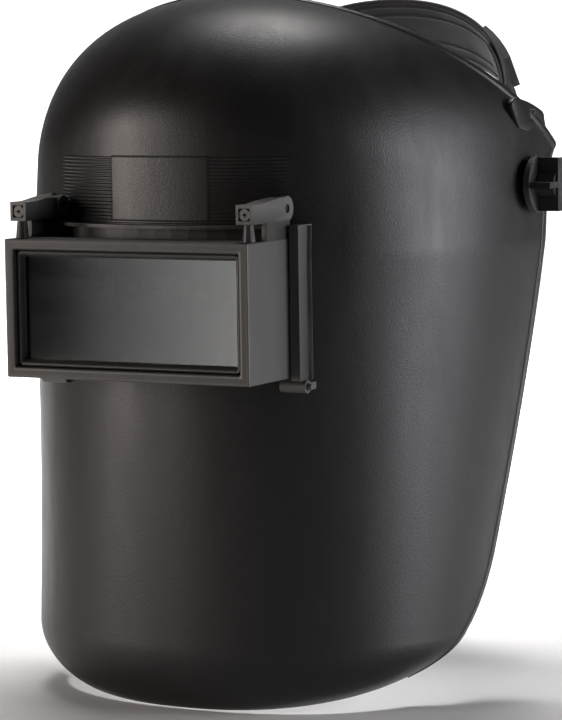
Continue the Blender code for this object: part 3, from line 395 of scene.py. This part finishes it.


# third colour: grain specks, and the painted highlight on convex edges
SHELL_PLASTIC = moulded_plastic("shell_plastic", (0.0065, 0.006, 0.0058), (0.0095, 0.009, 0.0088), 0.41,
                                1250.0, 0.00008, (0.020, 0.019, 0.018), scuff_depth=0.000004)
FRAME_PLASTIC = moulded_plastic("frame_plastic", (0.015, 0.0145, 0.014), (0.021, 0.020, 0.0195), 0.46,
                                2400.0, 0.00004, (0.11, 0.105, 0.10))
STRAP_PLASTIC = moulded_plastic("strap_plastic", (0.008, 0.008, 0.0085), (0.013, 0.013, 0.0135), 0.72,
                                1900.0, 0.00006, (0.05, 0.05, 0.052))
KNOB_PLASTIC = moulded_plastic("knob_plastic", (0.011, 0.011, 0.0115), (0.016, 0.016, 0.0165), 0.44,
                               2600.0, 0.00003, (0.07, 0.07, 0.072))
WASHER_RUBBER = moulded_plastic("washer_rubber", (0.018, 0.018, 0.018), (0.026, 0.026, 0.026), 0.78,
                                1500.0, 0.00008, (0.05, 0.05, 0.05))
MATTE_BLACK = moulded_plastic("matte_black", (0.005, 0.005, 0.0052), (0.008, 0.008, 0.0082), 0.72,
                              2000.0, 0.00004, (0.03, 0.03, 0.031))
STEEL = plated_steel("plated_steel", (0.62, 0.62, 0.63), (0.48, 0.47, 0.46))
BLACKENED_STEEL = plated_steel("blackened_steel", (0.030, 0.030, 0.033), (0.018, 0.017, 0.018))
CLEAR_GLASS = glass_plate("clear_glass", (0.92, 0.95, 0.94), 1.0)
FILTER_GLASS = glass_plate("filter_glass", (0.006, 0.009, 0.007), 0.0)
SOFT_FABRIC = woven_foam("sweatband_fabric")
BINDING = moulded_plastic("binding_tape", (0.016, 0.016, 0.017), (0.024, 0.024, 0.025), 0.7,
                          1400.0, 0.00010, (0.05, 0.05, 0.052))
SLOT_MATERIALS = {
    "shell": SHELL_PLASTIC, "frame_plastic": FRAME_PLASTIC, "strap_plastic": STRAP_PLASTIC,
    "knob_plastic": KNOB_PLASTIC, "washer_rubber": WASHER_RUBBER, "steel": STEEL,
    "clear_glass": CLEAR_GLASS, "filter_glass": FILTER_GLASS, "soft_pad": SOFT_FABRIC,
}
NODE_MATERIALS = {
    "hinge_pin_left": BLACKENED_STEEL, "hinge_pin_right": BLACKENED_STEEL, "crown_clip": MATTE_BLACK,
    "tilt_lever_left": MATTE_BLACK, "tilt_lever_right": MATTE_BLACK,
}


# ---------------------------------------------------------------- shell

def rear_edge_y(z):
    """Y of the shell's rear edge before its corner is trimmed: flared above the pivots, swept below."""
    flare = EAR_FLARE * (max(z, 0.0) / EAR_Z) ** 1.5
    sweep = REAR_SWEEP * (max(-z, 0.0) / -SIDE_BOTTOM_Z) ** REAR_SWEEP_POWER
    return REAR_EDGE_Y + flare - sweep


def shell_rails(height):
    """Centre point, edge point, half-width and section power at a height parameter from 0 to 3."""
    round_z = CHIN_Z + CHIN_ROUND
    if height <= 1.0:
        angle = (1.0 - height) * math.radians(65)
        turned_in = (1 - math.cos(angle)) / (1 - math.cos(math.radians(65)))
        dropped = math.sin(angle) / math.sin(math.radians(65))
        centre = (SHELL_FRONT + CHIN_TUCK * turned_in, round_z - CHIN_ROUND * dropped)
        edge_z = blend(round_z, SIDE_BOTTOM_Z, dropped)
        return centre, (rear_edge_y(edge_z), edge_z), CHIN_HALF_WIDTH - CHIN_TUCK * turned_in, SECTION_POWER
    if height <= 2.0:
        part = height - 1.0
        z = blend(round_z, DOME_START_Z, part)
        half_width = blend(CHIN_HALF_WIDTH, SHELL_HALF_WIDTH, part)
        return (SHELL_FRONT, z), (rear_edge_y(z), z), half_width, SECTION_POWER
    part = height - 2.0
    edge_z = blend(DOME_START_Z, EAR_Z, part)
    straight = DOME_TANGENT_Z - DOME_START_Z
    rise = CROWN_Z - DOME_TANGENT_Z
    back = CROWN_Y - SHELL_FRONT
    travelled = part * (straight + (rise + back) * 0.8)
    power = blend(SECTION_POWER, CROWN_SECTION_POWER, part)
    if travelled < straight:
        centre = (SHELL_FRONT, DOME_START_Z + travelled)
    else:
        angle = min((travelled - straight) / ((rise + back) * 0.8), 1.0) * math.pi / 2
        centre = (SHELL_FRONT + back * (1 - abs(math.cos(angle)) ** (2 / DOME_POWER)),
                  DOME_TANGENT_Z + rise * math.sin(angle) ** (2 / DOME_POWER))
    return centre, (rear_edge_y(edge_z), edge_z), SHELL_HALF_WIDTH, power


def shell_point(height, across):
    centre, edge, half_width, power = shell_rails(height)
    sine = math.sin(across)
    inward = abs(math.cos(across)) ** (2 / power)
    x = half_width * math.copysign(abs(sine) ** (2 / power), sine)
    return Vector((x, blend(edge[0], centre[0], inward), blend(edge[1], centre[1], inward)))


def section_limit(height):
    """How far round the section runs, in radians, once the lower rear corner is trimmed."""
    centre, edge, _, power = shell_rails(height)
    down = max(CORNER_START_Z - edge[1], 0.0) / CORNER_HEIGHT
    trimmed = CORNER_DEPTH * (1 - math.sqrt(1 - down * down))
    return math.acos((trimmed / (edge[0] - centre[0])) ** (power / 2))


def shell_front_y(x, z):
    low, high = 0.5, 3.0
    for _ in range(30):
        height = (low + high) / 2
        centre, edge, half_width, power = shell_rails(height)
        inward = max(0.0, 1 - (abs(x) / half_width) ** power) ** (1 / power)
        if blend(edge[1], centre[1], inward) < z:
            low = height
        else:
            high = height
    return blend(edge[0], centre[0], inward)


def shell_normal(x, z):
    step = 0.5
    slope_x = (shell_front_y(x + step, z) - shell_front_y(x - step, z)) / (2 * step)
    slope_z = (shell_front_y(x, z + step) - shell_front_y(x, z - step)) / (2 * step)
    return Vector((slope_x, -1.0, slope_z)).normalized()


def shell_grid(columns, rows):
    """Points of the shell's outer surface, from the chin rim to the crown rim."""
    grid = []
    for row in range(rows + 1):
        height = 3.0 * row / rows
        limit = section_limit(height)
        grid.append([shell_point(height, blend(-limit, limit, column / columns))
                     for column in range(columns + 1)])
    return grid


def square_hole(side):
    low, high = sorted((side * 90.0, side * 125.0))
    return box_cutter((low, PEG_Y - 2.1, PEG_Z - 2.1), (high, PEG_Y + 2.1, PEG_Z + 2.1))


def fine_shell():
    """The shell's skin with the window, the pivot holes and the square peg holes."""
    mesh = grid_mesh(shell_grid(SHELL_COLUMNS, SHELL_ROWS), -SHELL_WALL)
    shell = link("shell_skin", mesh, "shell", SHELL_PLASTIC, 50)
    boolean(shell, box_cutter((-WINDOW_HALF_X, -150, BOX_Z - WINDOW_HALF_Z),
                              (WINDOW_HALF_X, -90, BOX_Z + WINDOW_HALF_Z)))
    for side in (-1, 1):
        low, high = sorted((side * 90.0, side * 125.0))
        boolean(shell, tube_cutter(PIVOT_HOLE_RADIUS, low, high, "X", (0, 0, 0)))
        boolean(shell, square_hole(side))
    shell.data.set_sharp_from_angle(angle=math.radians(50))
    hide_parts("shell")


def swept_bead(name, path, normals, wide, tall, material, body, closed=False, sides=12):
    """A flattened bead along a path: wide across the surface, tall along its normals."""
    bm = bmesh.new()
    rings = []
    count = len(path)
    for index, (point, normal) in enumerate(zip(path, normals)):
        before = path[index - 1] if closed or index else path[0]
        after = path[(index + 1) % count] if closed or index + 1 < count else path[-1]
        across = (after - before).normalized().cross(normal).normalized()
        ring = []
        for step in range(sides):
            angle = 2 * math.pi * step / sides
            offset = across * (math.cos(angle) * wide / 2) + normal * (math.sin(angle) * tall)
            ring.append(bm.verts.new((point + offset) * MM))
        rings.append(ring)
    pairs = list(zip(rings, rings[1:]))
    if closed:
        pairs.append((rings[-1], rings[0]))
    for low, high in pairs:
        for step in range(sides):
            after = (step + 1) % sides
            bm.faces.new((low[step], low[after], high[after], high[step]))
    if not closed:
        bm.faces.new(rings[0])
        bm.faces.new(list(reversed(rings[-1])))
    bmesh.ops.recalc_face_normals(bm, faces=bm.faces)
    mesh = bpy.data.meshes.new(name)
    bm.to_mesh(mesh)
    bm.free()
    return link(name, mesh, body, material)


def surface_frame(height, share, inset=(0, 0, 0)):
    """A point on the shell moved by inset, with its normal; share runs from -1 to 1 across the section."""
    step = 0.004
    across = share * section_limit(height)
    along = shell_point(height, across + step) - shell_point(height, across - step)
    up = shell_point(min(height + step, 3.0), across) - shell_point(max(height - step, 0.0), across)
    return shell_point(height, across) + Vector(inset), along.cross(up).normalized()


def rim_beads():
    """Raised bead along the crown edge, and a finer one down each rear edge and round the chin."""
    columns = 140
    shares = [blend(-0.993, 0.993, step / columns) for step in range(columns + 1)]
    crown = [surface_frame(2.972, share) for share in shares]
    sunk = []
    for point, normal in crown:
        level_with_top = CROWN_BEAD_RISE + (point.z - CROWN_Z) / max(normal.z, 0.1) + 0.1
        sunk.append(point - normal * max(CROWN_BEAD_SINK, level_with_top))
    swept_bead("crown_rim_bead", sunk, [normal for _, normal in crown], 5.0, CROWN_BEAD_RISE,
               SHELL_PLASTIC, "shell")
    chin = [surface_frame(0.012, share, (0, 0, 0.6)) for share in shares]
    swept_bead("chin_rim_bead", [point - normal * 0.5 for point, normal in chin],
               [normal for _, normal in chin], 2.2, 0.95, SHELL_PLASTIC, "shell")
    for name, side in (("left", 1), ("right", -1)):
        edge = [surface_frame(3.0 * step / 120, side * 0.99, (0, -0.4, 0)) for step in range(1, 117)]
        swept_bead("rear_rim_bead_" + name, [point - normal * 0.35 for point, normal in edge],
                   [normal for _, normal in edge], 2.2, 0.85, SHELL_PLASTIC, "shell")


def brow_relief(x, z):
    """Height of the moulded brow: a plain raised panel between two fields of fine level ribs."""
    panel_x = ease((PANEL_HALF_X + 1.2 - abs(x)) / 2.4)
    panel_z = ease((z - PANEL_LOW + 1.2) / 2.4) * ease((PANEL_HIGH + 1.2 - z) / 2.4)
    panel = panel_x * panel_z
    field = ease((RIBS_HALF_X - abs(x)) / 14.0) * ease((z - RIBS_LOW) / 0.8) * ease((RIBS_HIGH - z) / 0.8)
    wave = 0.5 - 0.5 * math.cos(2 * math.pi * (z - RIBS_LOW) / RIB_PITCH)
    return -0.25 + max(panel * (PANEL_RISE + 0.25), field * (0.25 + RIB_RISE * wave))


def brow_patch():
    """Link the brow's panel and ribs to the shell."""
    columns, rows = 220, 130
    grid = []
    for row in range(rows + 1):
        z = blend(RIBS_LOW - 0.8, RIBS_HIGH + 0.8, row / rows)
        line = []
        for column in range(columns + 1):
            x = blend(-RIBS_HALF_X - 1, RIBS_HALF_X + 1, column / columns)
            point = Vector((x, shell_front_y(x, z), z))
            line.append(point + shell_normal(x, z) * brow_relief(x, z))
        grid.append(line)
    link("brow_panel_and_ribs", grid_mesh(grid, -1.2), "shell", SHELL_PLASTIC, 60)


def ear_lugs():
    """Rounded tab at each ear, with the square peg hole."""
    for name, side in (("left", 1), ("right", -1)):
        bm = bmesh.new()
        rows = []
        for x in (LUG_INNER_X, LUG_OUTER_X):
            rows.append([bm.verts.new(Vector((side * (x - LUG_LEAN * (18.0 - y)), y, z)) * MM)
                         for y, z in LUG_OUTLINE])
        bm.faces.new(rows[0])
        bm.faces.new(list(reversed(rows[1])))
        count = len(LUG_OUTLINE)
        for index in range(count):
            after = (index + 1) % count
            bm.faces.new((rows[0][after], rows[0][index], rows[1][index], rows[1][after]))
        bmesh.ops.recalc_face_normals(bm, faces=bm.faces)
        mesh = bpy.data.meshes.new("ear_lug")
        bm.to_mesh(mesh)
        bm.free()
        lug = link("ear_lug_" + name, mesh, "shell", SHELL_PLASTIC)
        boolean(lug, square_hole(side))
        rounding = lug.modifiers.new("rounding", "BEVEL")
        rounding.width = 0.55 * MM
        rounding.segments = 3
        rounding.limit_method = "ANGLE"
        rounding.angle_limit = math.radians(40)
        apply_modifiers(lug)
        lug.data.set_sharp_from_angle(angle=math.radians(45))


# ---------------------------------------------------------------- lens box

def rounded_rectangle(half_x, half_z, radius, y, corner_steps=6, side_steps=10):
    """Points of a rounded rectangle round the lens box's centre, square to Y."""
    points = []
    corners = ((1, 1, 0), (-1, 1, 90), (-1, -1, 180), (1, -1, 270))
    for index, (side_x, side_z, start) in enumerate(corners):
        centre = Vector((side_x * (half_x - radius), y, BOX_Z + side_z * (half_z - radius)))
        for step in range(corner_steps + 1):
            angle = math.radians(start + 90 * step / corner_steps)
            points.append(centre + Vector((radius * math.cos(angle), 0, radius * math.sin(angle))))
        following = corners[(index + 1) % 4]
        angle = math.radians(following[2])
        target = Vector((following[0] * (half_x - radius), y, BOX_Z + following[1] * (half_z - radius)))
        target += Vector((radius * math.cos(angle), 0, radius * math.sin(angle)))
        last = points[-1].copy()
        points += [last.lerp(target, step / side_steps) for step in range(1, side_steps)]
    return points


def ring_mesh(profile, radius):
    """A ring round the window; profile is a closed list of (half X, half Z, Y), in mm."""
    bm = bmesh.new()
    loops = []
    for half_x, half_z, y in profile:
        points = rounded_rectangle(half_x, half_z, max(radius + half_x - profile[0][0], 0.4), y)
        loops.append([bm.verts.new(point * MM) for point in points])
    for low, high in zip(loops, loops[1:] + loops[:1]):
        for index in range(len(low)):
            after = (index + 1) % len(low)
            bm.faces.new((low[index], low[after], high[after], high[index]))
    bmesh.ops.recalc_face_normals(bm, faces=bm.faces)
    mesh = bpy.data.meshes.new("ring")
    bm.to_mesh(mesh)
    bm.free()
    return mesh


def front_rings():
    """The bezel with its round front and sloped inside, and a lip that narrows the box's rim."""
    bezel = []
    for inwards, forwards in BEZEL_PROFILE:
        bezel.append((BEZEL_HALF_X - inwards, BEZEL_HALF_Z - inwards, BEZEL_Y - forwards))
    ring = link("moulded_bezel", ring_mesh(bezel, 2.2), "flip_front", FRAME_PLASTIC)
    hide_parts("front_bezel")
    lip = []
    for inwards, forwards in LIP_PROFILE:
        lip.append((LIP_HALF_X - inwards, LIP_HALF_Z - inwards, LIP_Y - forwards))
    link("frame_rim_lip", ring_mesh(lip, 2.4), "flip_front", FRAME_PLASTIC)


# ---------------------------------------------------------------- headgear

def strap_point(degrees, inwards, sideways):
    """A point on the crown strap: inwards from its inner face, sideways from its middle line to the rear."""
    lean = Vector((0, STRAP_TOP[0] - STRAP_FOOT[0], STRAP_TOP[1] - STRAP_FOOT[1]))
    across = Vector((0, lean.z, -lean.y)).normalized()
    angle = math.radians(degrees)
    rise = math.copysign(abs(math.sin(angle)) ** STRAP_FULLNESS, math.sin(angle))
    reach = math.copysign(abs(math.cos(angle)) ** STRAP_FULLNESS, math.cos(angle))
    foot = Vector(((STRAP_HALF_X - inwards) * reach, *STRAP_FOOT))
    middle = foot + lean * rise * (1 - inwards / lean.length)
    return middle + across * sideways


def strap_section(degrees, depth, narrower, ridged):
    """Points round the strap at one angle: two faces with moulded ridges and thinned, rounded edges."""
    sine = math.sin(math.radians(degrees))
    width = blend(STRAP_WIDTH, STRAP_CROWN_WIDTH, sine * sine) - narrower
    flare = STRAP_REAR_FLARE * math.sin(math.radians(2 * degrees)) ** 2 * ridged
    section = []
    for face in (1, -1):
        for step in range(STRAP_SECTION_STEPS + 1):
            share = face * blend(-0.5, 0.5, step / STRAP_SECTION_STEPS)
            thin = 0.55 * max(0.0, (abs(share) - 0.46) / 0.04) ** 2
            ridge = max(math.exp(-((abs(share) - place) / 0.022) ** 2) for place in (0.23, 0.39)) * ridged
            height = STRAP_THICKNESS / 2 - thin + STRAP_RIDGE * ridge
            inwards = depth - STRAP_THICKNESS / 2 + face * height
            section.append(strap_point(degrees, inwards, share * width + flare * max(share, 0.0) * 2))
    return section


def swept_strap(node, start, end, depth, narrower, ridged):
    """A smooth strap in place of its CAD solid."""
    bm = bmesh.new()
    rings = []
    steps = int(abs(end - start))
    for step in range(steps + 1):
        section = strap_section(blend(start, end, step / steps), depth, narrower, ridged)
        rings.append([bm.verts.new(point * MM) for point in section])
    count = len(rings[0])
    for low, high in zip(rings, rings[1:]):
        for index in range(count):
            after = (index + 1) % count
            bm.faces.new((low[index], low[after], high[after], high[index]))
    bm.faces.new(rings[0])
    bm.faces.new(list(reversed(rings[-1])))
    bmesh.ops.recalc_face_normals(bm, faces=bm.faces)
    mesh = bpy.data.meshes.new(node)
    bm.to_mesh(mesh)
    bm.free()
    strap = link(node + "_moulded", mesh, "headgear", STRAP_PLASTIC, 50)
    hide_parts(node)


def crown_straps():
    """Both halves of the crown strap, with moulded ridges."""
    swept_strap("crown_strap_right", 24, 183, 0.0, 0.0, 1.0)
    swept_strap("crown_strap_left", -3, 46, STRAP_THICKNESS + STRAP_GAP, 4.0, 0.0)


def soft_piece(node, voxel, sink, cap, material):
    """A foam piece in place of its plain CAD solid: swollen by cloth pressure, then smoothed."""
    solid = frame["nodes"][node]
    mesh = solid.data.copy()
    mesh.transform(solid.matrix_world)
    piece = link(node + "_soft", mesh, None, material, 180)
    remesh = piece.modifiers.new("remesh", "REMESH")
    remesh.mode = "VOXEL"
    remesh.voxel_size = voxel * MM
    shrink = piece.modifiers.new("shrink", "DISPLACE")
    shrink.mid_level = 0.0
    shrink.strength = -sink * MM
    apply_modifiers(piece)
    start = [vertex.co.copy() for vertex in piece.data.vertices]
    cloth = piece.modifiers.new("cloth", "CLOTH")
    cloth.settings.use_pressure = True
    cloth.settings.uniform_pressure_force = 4.0
    cloth.settings.effector_weights.gravity = 0.0
    for number in range(1, 21):
        bpy.context.scene.frame_set(number)
    apply_modifiers(piece)
    bpy.context.scene.frame_set(1)
    for vertex, before in zip(piece.data.vertices, start):
        moved = vertex.co - before
        if moved.length > cap * MM:
            vertex.co = before + moved.normalized() * cap * MM
    smooth = piece.modifiers.new("smooth", "SUBSURF")
    smooth.levels = 1
    smooth.render_levels = 1
    apply_modifiers(piece)
    piece.data.shade_smooth()
    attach(piece, "headgear")
    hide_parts(node)
    return piece


def edge_binding(name, points, normals, closed=False):
    swept_bead(name, points, normals, 1.5, 0.75, BINDING, "headgear", closed, 8)


def stitches(name, points, normals, length=2.6):
    """A row of thread stitches along a path, each one sunk at its ends."""
    bm = bmesh.new()
    for index in range(0, len(points) - 1):
        start, end = points[index], points[index + 1]
        along = (end - start).normalized()
        middle = (start + end) / 2
        normal = normals[index]
        side = along.cross(normal).normalized()
        rings = []
        for share in (-0.5, -0.25, 0.0, 0.25, 0.5):
            centre = middle + along * length * share + normal * (0.28 - 1.6 * share * share)
            ring = []
            for corner in range(6):
                angle = math.pi * corner / 3
                across = side * THREAD_RADIUS * math.cos(angle)
                outwards = normal * THREAD_RADIUS * math.sin(angle)
                ring.append(bm.verts.new((centre + across + outwards) * MM))
            rings.append(ring)
        for low, high in zip(rings, rings[1:]):
            for corner in range(6):
                after = (corner + 1) % 6
                bm.faces.new((low[corner], low[after], high[after], high[corner]))
        bm.faces.new(rings[0])
        bm.faces.new(list(reversed(rings[-1])))
    bmesh.ops.recalc_face_normals(bm, faces=bm.faces)
    mesh = bpy.data.meshes.new(name)
    bm.to_mesh(mesh)
    bm.free()
    link(name, mesh, "headgear", BINDING)


def sweatband_line(z, inwards, steps=56):
    """Points along the sweatband at a height from its middle, and the normals of its inner face."""
    points, normals = [], []
    for step in range(steps + 1):
        angle = math.radians(blend(-60.5, 60.5, step / steps))
        radius_x = BAND_HALF_X - inwards
        radius_y = BAND_CENTRE_Y - BAND_FRONT_Y - inwards
        points.append(Vector((radius_x * math.sin(angle), BAND_CENTRE_Y - radius_y * math.cos(angle),
                              FOREHEAD_RISE * math.cos(angle) ** 2 + z)))
        normals.append(Vector((-math.sin(angle), math.cos(angle), 0)))
    return points, normals


def soft_pads():
    """Sweatband and nape pad, with bound edges and stitched lines."""
    soft_piece("sweatband", 2.4, 0.5, 0.6, SOFT_FABRIC)
    soft_piece("nape_pad", 4.0, 0.6, 1.2, SOFT_FABRIC)
    for name, z in (("top", 16.1), ("bottom", -16.1)):
        edge_binding("sweatband_binding_" + name, *sweatband_line(z, 3.2))
        stitches("sweatband_stitches_" + name, *sweatband_line(z * 0.84, 5.35))
    pad = []
    centre_x = NAPE_PAD_HALF_X - NAPE_PAD_CORNER
    centre_z = NAPE_PAD_HALF_Z - NAPE_PAD_CORNER
    for corner_x, corner_z, start in ((1, 1, 0), (-1, 1, 90), (-1, -1, 180), (1, -1, 270)):
        for step in range(NAPE_PAD_STEPS):
            angle = math.radians(start + 90 * step / (NAPE_PAD_STEPS - 1))
            pad.append(Vector((corner_x * centre_x + NAPE_PAD_CORNER * math.cos(angle), NAPE_PAD_Y,
                               NAPE_PAD_Z + corner_z * centre_z + NAPE_PAD_CORNER * math.sin(angle))))
    inwards = [Vector((0, -1, 0))] * len(pad)
    edge_binding("nape_pad_binding", pad, inwards, True)


# ---------------------------------------------------------------- CAD nodes in their finish

def finish_nodes():
    """Every other CAD node keeps its form, in its slot's material, with moulded, rounded edges."""
    slots = {part["node"]: part["material_slot"] for part in frame["record"]["subparts"]}
    for name, node in frame["nodes"].items():
        if name in REPLACED:
            continue
        node.data.materials.clear()
        node.data.materials.append(NODE_MATERIALS.get(name) or SLOT_MATERIALS[slots[name]])
        node.data.shade_smooth()
        node.data.set_sharp_from_angle(angle=math.radians(35))
        rounding = node.modifiers.new("rounding", "BEVEL")
        rounding.width = ROUNDING.get(name, 0.25) * MM
        rounding.segments = 2
        rounding.limit_method = "ANGLE"
        rounding.angle_limit = math.radians(38)
        rounding.harden_normals = True


# ---------------------------------------------------------------- studio

def area_light(name, place, aim, size, power, colour):
    """A rectangular lamp at a place, turned to its aim; size in metres, power in watts."""
    data = bpy.data.lights.new(name, "AREA")
    data.shape = "RECTANGLE"
    data.size, data.size_y = size
    data.energy = power
    data.color = colour
    lamp = bpy.data.objects.new(name, data)
    bpy.context.scene.collection.objects.link(lamp)
    lamp.location = Vector(place)
    lamp.rotation_mode = "QUATERNION"
    lamp.rotation_quaternion = (Vector(place) - Vector(aim)).to_track_quat("Z", "Y")
    return lamp


def floor_and_backdrop():
    """A pale floor that curves up into a backdrop on the far side from the camera."""
    bm = bmesh.new()
    profile = [(-1.3, 0.0), (2.2, 0.0)]
    for step in range(1, 13):
        angle = math.radians(90 * step / 12)
        profile.append((2.2 + 1.2 * math.sin(angle), 1.2 - 1.2 * math.cos(angle)))
    profile.append((3.4, 4.5))
    rows = [[bm.verts.new((x, y, FLOOR_Z + z)) for y, z in profile] for x in (-5.0, 5.0)]
    for step in range(len(profile) - 1):
        bm.faces.new((rows[0][step], rows[1][step], rows[1][step + 1], rows[0][step + 1]))
    mesh = bpy.data.meshes.new("floor")
    bm.to_mesh(mesh)
    bm.free()
    made, nodes, links, shader = new_material("pale_floor")
    grain = noise(nodes, links, 40.0, 3.0)
    links.new(ramp(nodes, links, grain, [(0.3, 0.86), (0.7, 0.89)]), shader.inputs["Base Color"])
    shader.inputs["Roughness"].default_value = 0.8
    floor = link("floor", mesh, None, made, 80)
    floor.rotation_euler = (0, 0, math.radians(CAMERA_AZIMUTH))


def camera_axes():
    """The camera's right, up and backward directions, with its roll."""
    azimuth, elevation = math.radians(CAMERA_AZIMUTH), math.radians(CAMERA_ELEVATION)
    roll = math.radians(CAMERA_ROLL)
    back = Vector((math.sin(azimuth) * math.cos(elevation), -math.cos(azimuth) * math.cos(elevation),
                   math.sin(elevation)))
    level = Vector((math.cos(azimuth), math.sin(azimuth), 0))
    rise = back.cross(level)
    right = level * math.cos(roll) - rise * math.sin(roll)
    up = level * math.sin(roll) + rise * math.cos(roll)
    return right, up, back


def place_camera():
    """The camera at the angle of an ordinary product view, with depth of field off."""
    right, up, back = camera_axes()
    data = bpy.data.cameras.new("camera")
    data.sensor_width = 36.0
    data.lens = CAMERA_LENS
    data.shift_x, data.shift_y = CAMERA_SHIFT
    data.dof.use_dof = False
    camera = bpy.data.objects.new("camera", data)
    bpy.context.scene.collection.objects.link(camera)
    camera.rotation_mode = "QUATERNION"
    camera.rotation_quaternion = Matrix((right, up, back)).transposed().to_quaternion()
    camera.location = CAMERA_AIM + back * CAMERA_DISTANCE
    bpy.context.scene.camera = camera


def soft_box(name, azimuth, elevation, distance, size, power, colour, aim=Vector((0.0, -0.04, -0.06))):
    """A light at an azimuth from the helmet's front, to the wearer's left, and an elevation, in degrees."""
    turn, rise = math.radians(azimuth), math.radians(elevation)
    way = Vector((math.sin(turn) * math.cos(rise), -math.cos(turn) * math.cos(rise), math.sin(rise)))
    return area_light(name, aim + way * distance, aim, size, power, colour)


def place_lights():
    """Soft side lights, strips seen in the glass, a lit backdrop and floor, and a faint world."""
    soft_box("warm_left", -43, 4, 1.5, (0.44, 0.9), 12.5, (1.0, 0.90, 0.84))
    soft_box("cool_right", 102, 2, 1.5, (0.8, 1.1), 22.0, (0.95, 0.95, 1.0))
    for strip in range(LENS_STRIPS):
        glow = LENS_GLOW * (strip + 0.2) / LENS_STRIPS
        place = Vector((blend(-0.79, -0.55, (strip + 0.5) / LENS_STRIPS), -1.35, -0.164))
        area_light("lens_strip_%d" % strip, place, Vector((0.0, -0.152, -0.0456)),
                   (0.24 / LENS_STRIPS * 2.0, 0.22), glow, STUDIO_WHITE)
    azimuth = math.radians(CAMERA_AZIMUTH)
    behind = Vector((-math.sin(azimuth), math.cos(azimuth), 0.0))
    backdrop = area_light("backdrop_light", behind * 1.5 + Vector((0, 0, 1.5)), behind * 2.6,
                          (0.9, 0.9), 12.0, STUDIO_WHITE)
    backdrop.data.spread = math.radians(NARROW_SPREAD)
    floor_light = area_light("floor_light", behind + Vector((0, 0, 1.6)), behind, (1.1, 1.0), 25.0,
                             STUDIO_WHITE)
    floor_light.data.spread = math.radians(NARROW_SPREAD)
    area_light("top_light", behind * 0.35 + Vector((0, 0, 1.5)), behind * 0.35, (1.2, 0.8), 1.0,
               STUDIO_WHITE)
    world = bpy.data.worlds.new("studio")
    world.use_nodes = True
    background = world.node_tree.nodes["Background"]
    background.inputs["Color"].default_value = (1.0, 1.0, 1.0, 1)
    background.inputs["Strength"].default_value = 0.03
    bpy.context.scene.world = world
    bpy.context.scene.view_settings.view_transform = "Standard"


fine_shell()
rim_beads()
brow_patch()
ear_lugs()
front_rings()
crown_straps()
soft_pads()
finish_nodes()
floor_and_backdrop()
place_camera()
place_lights()
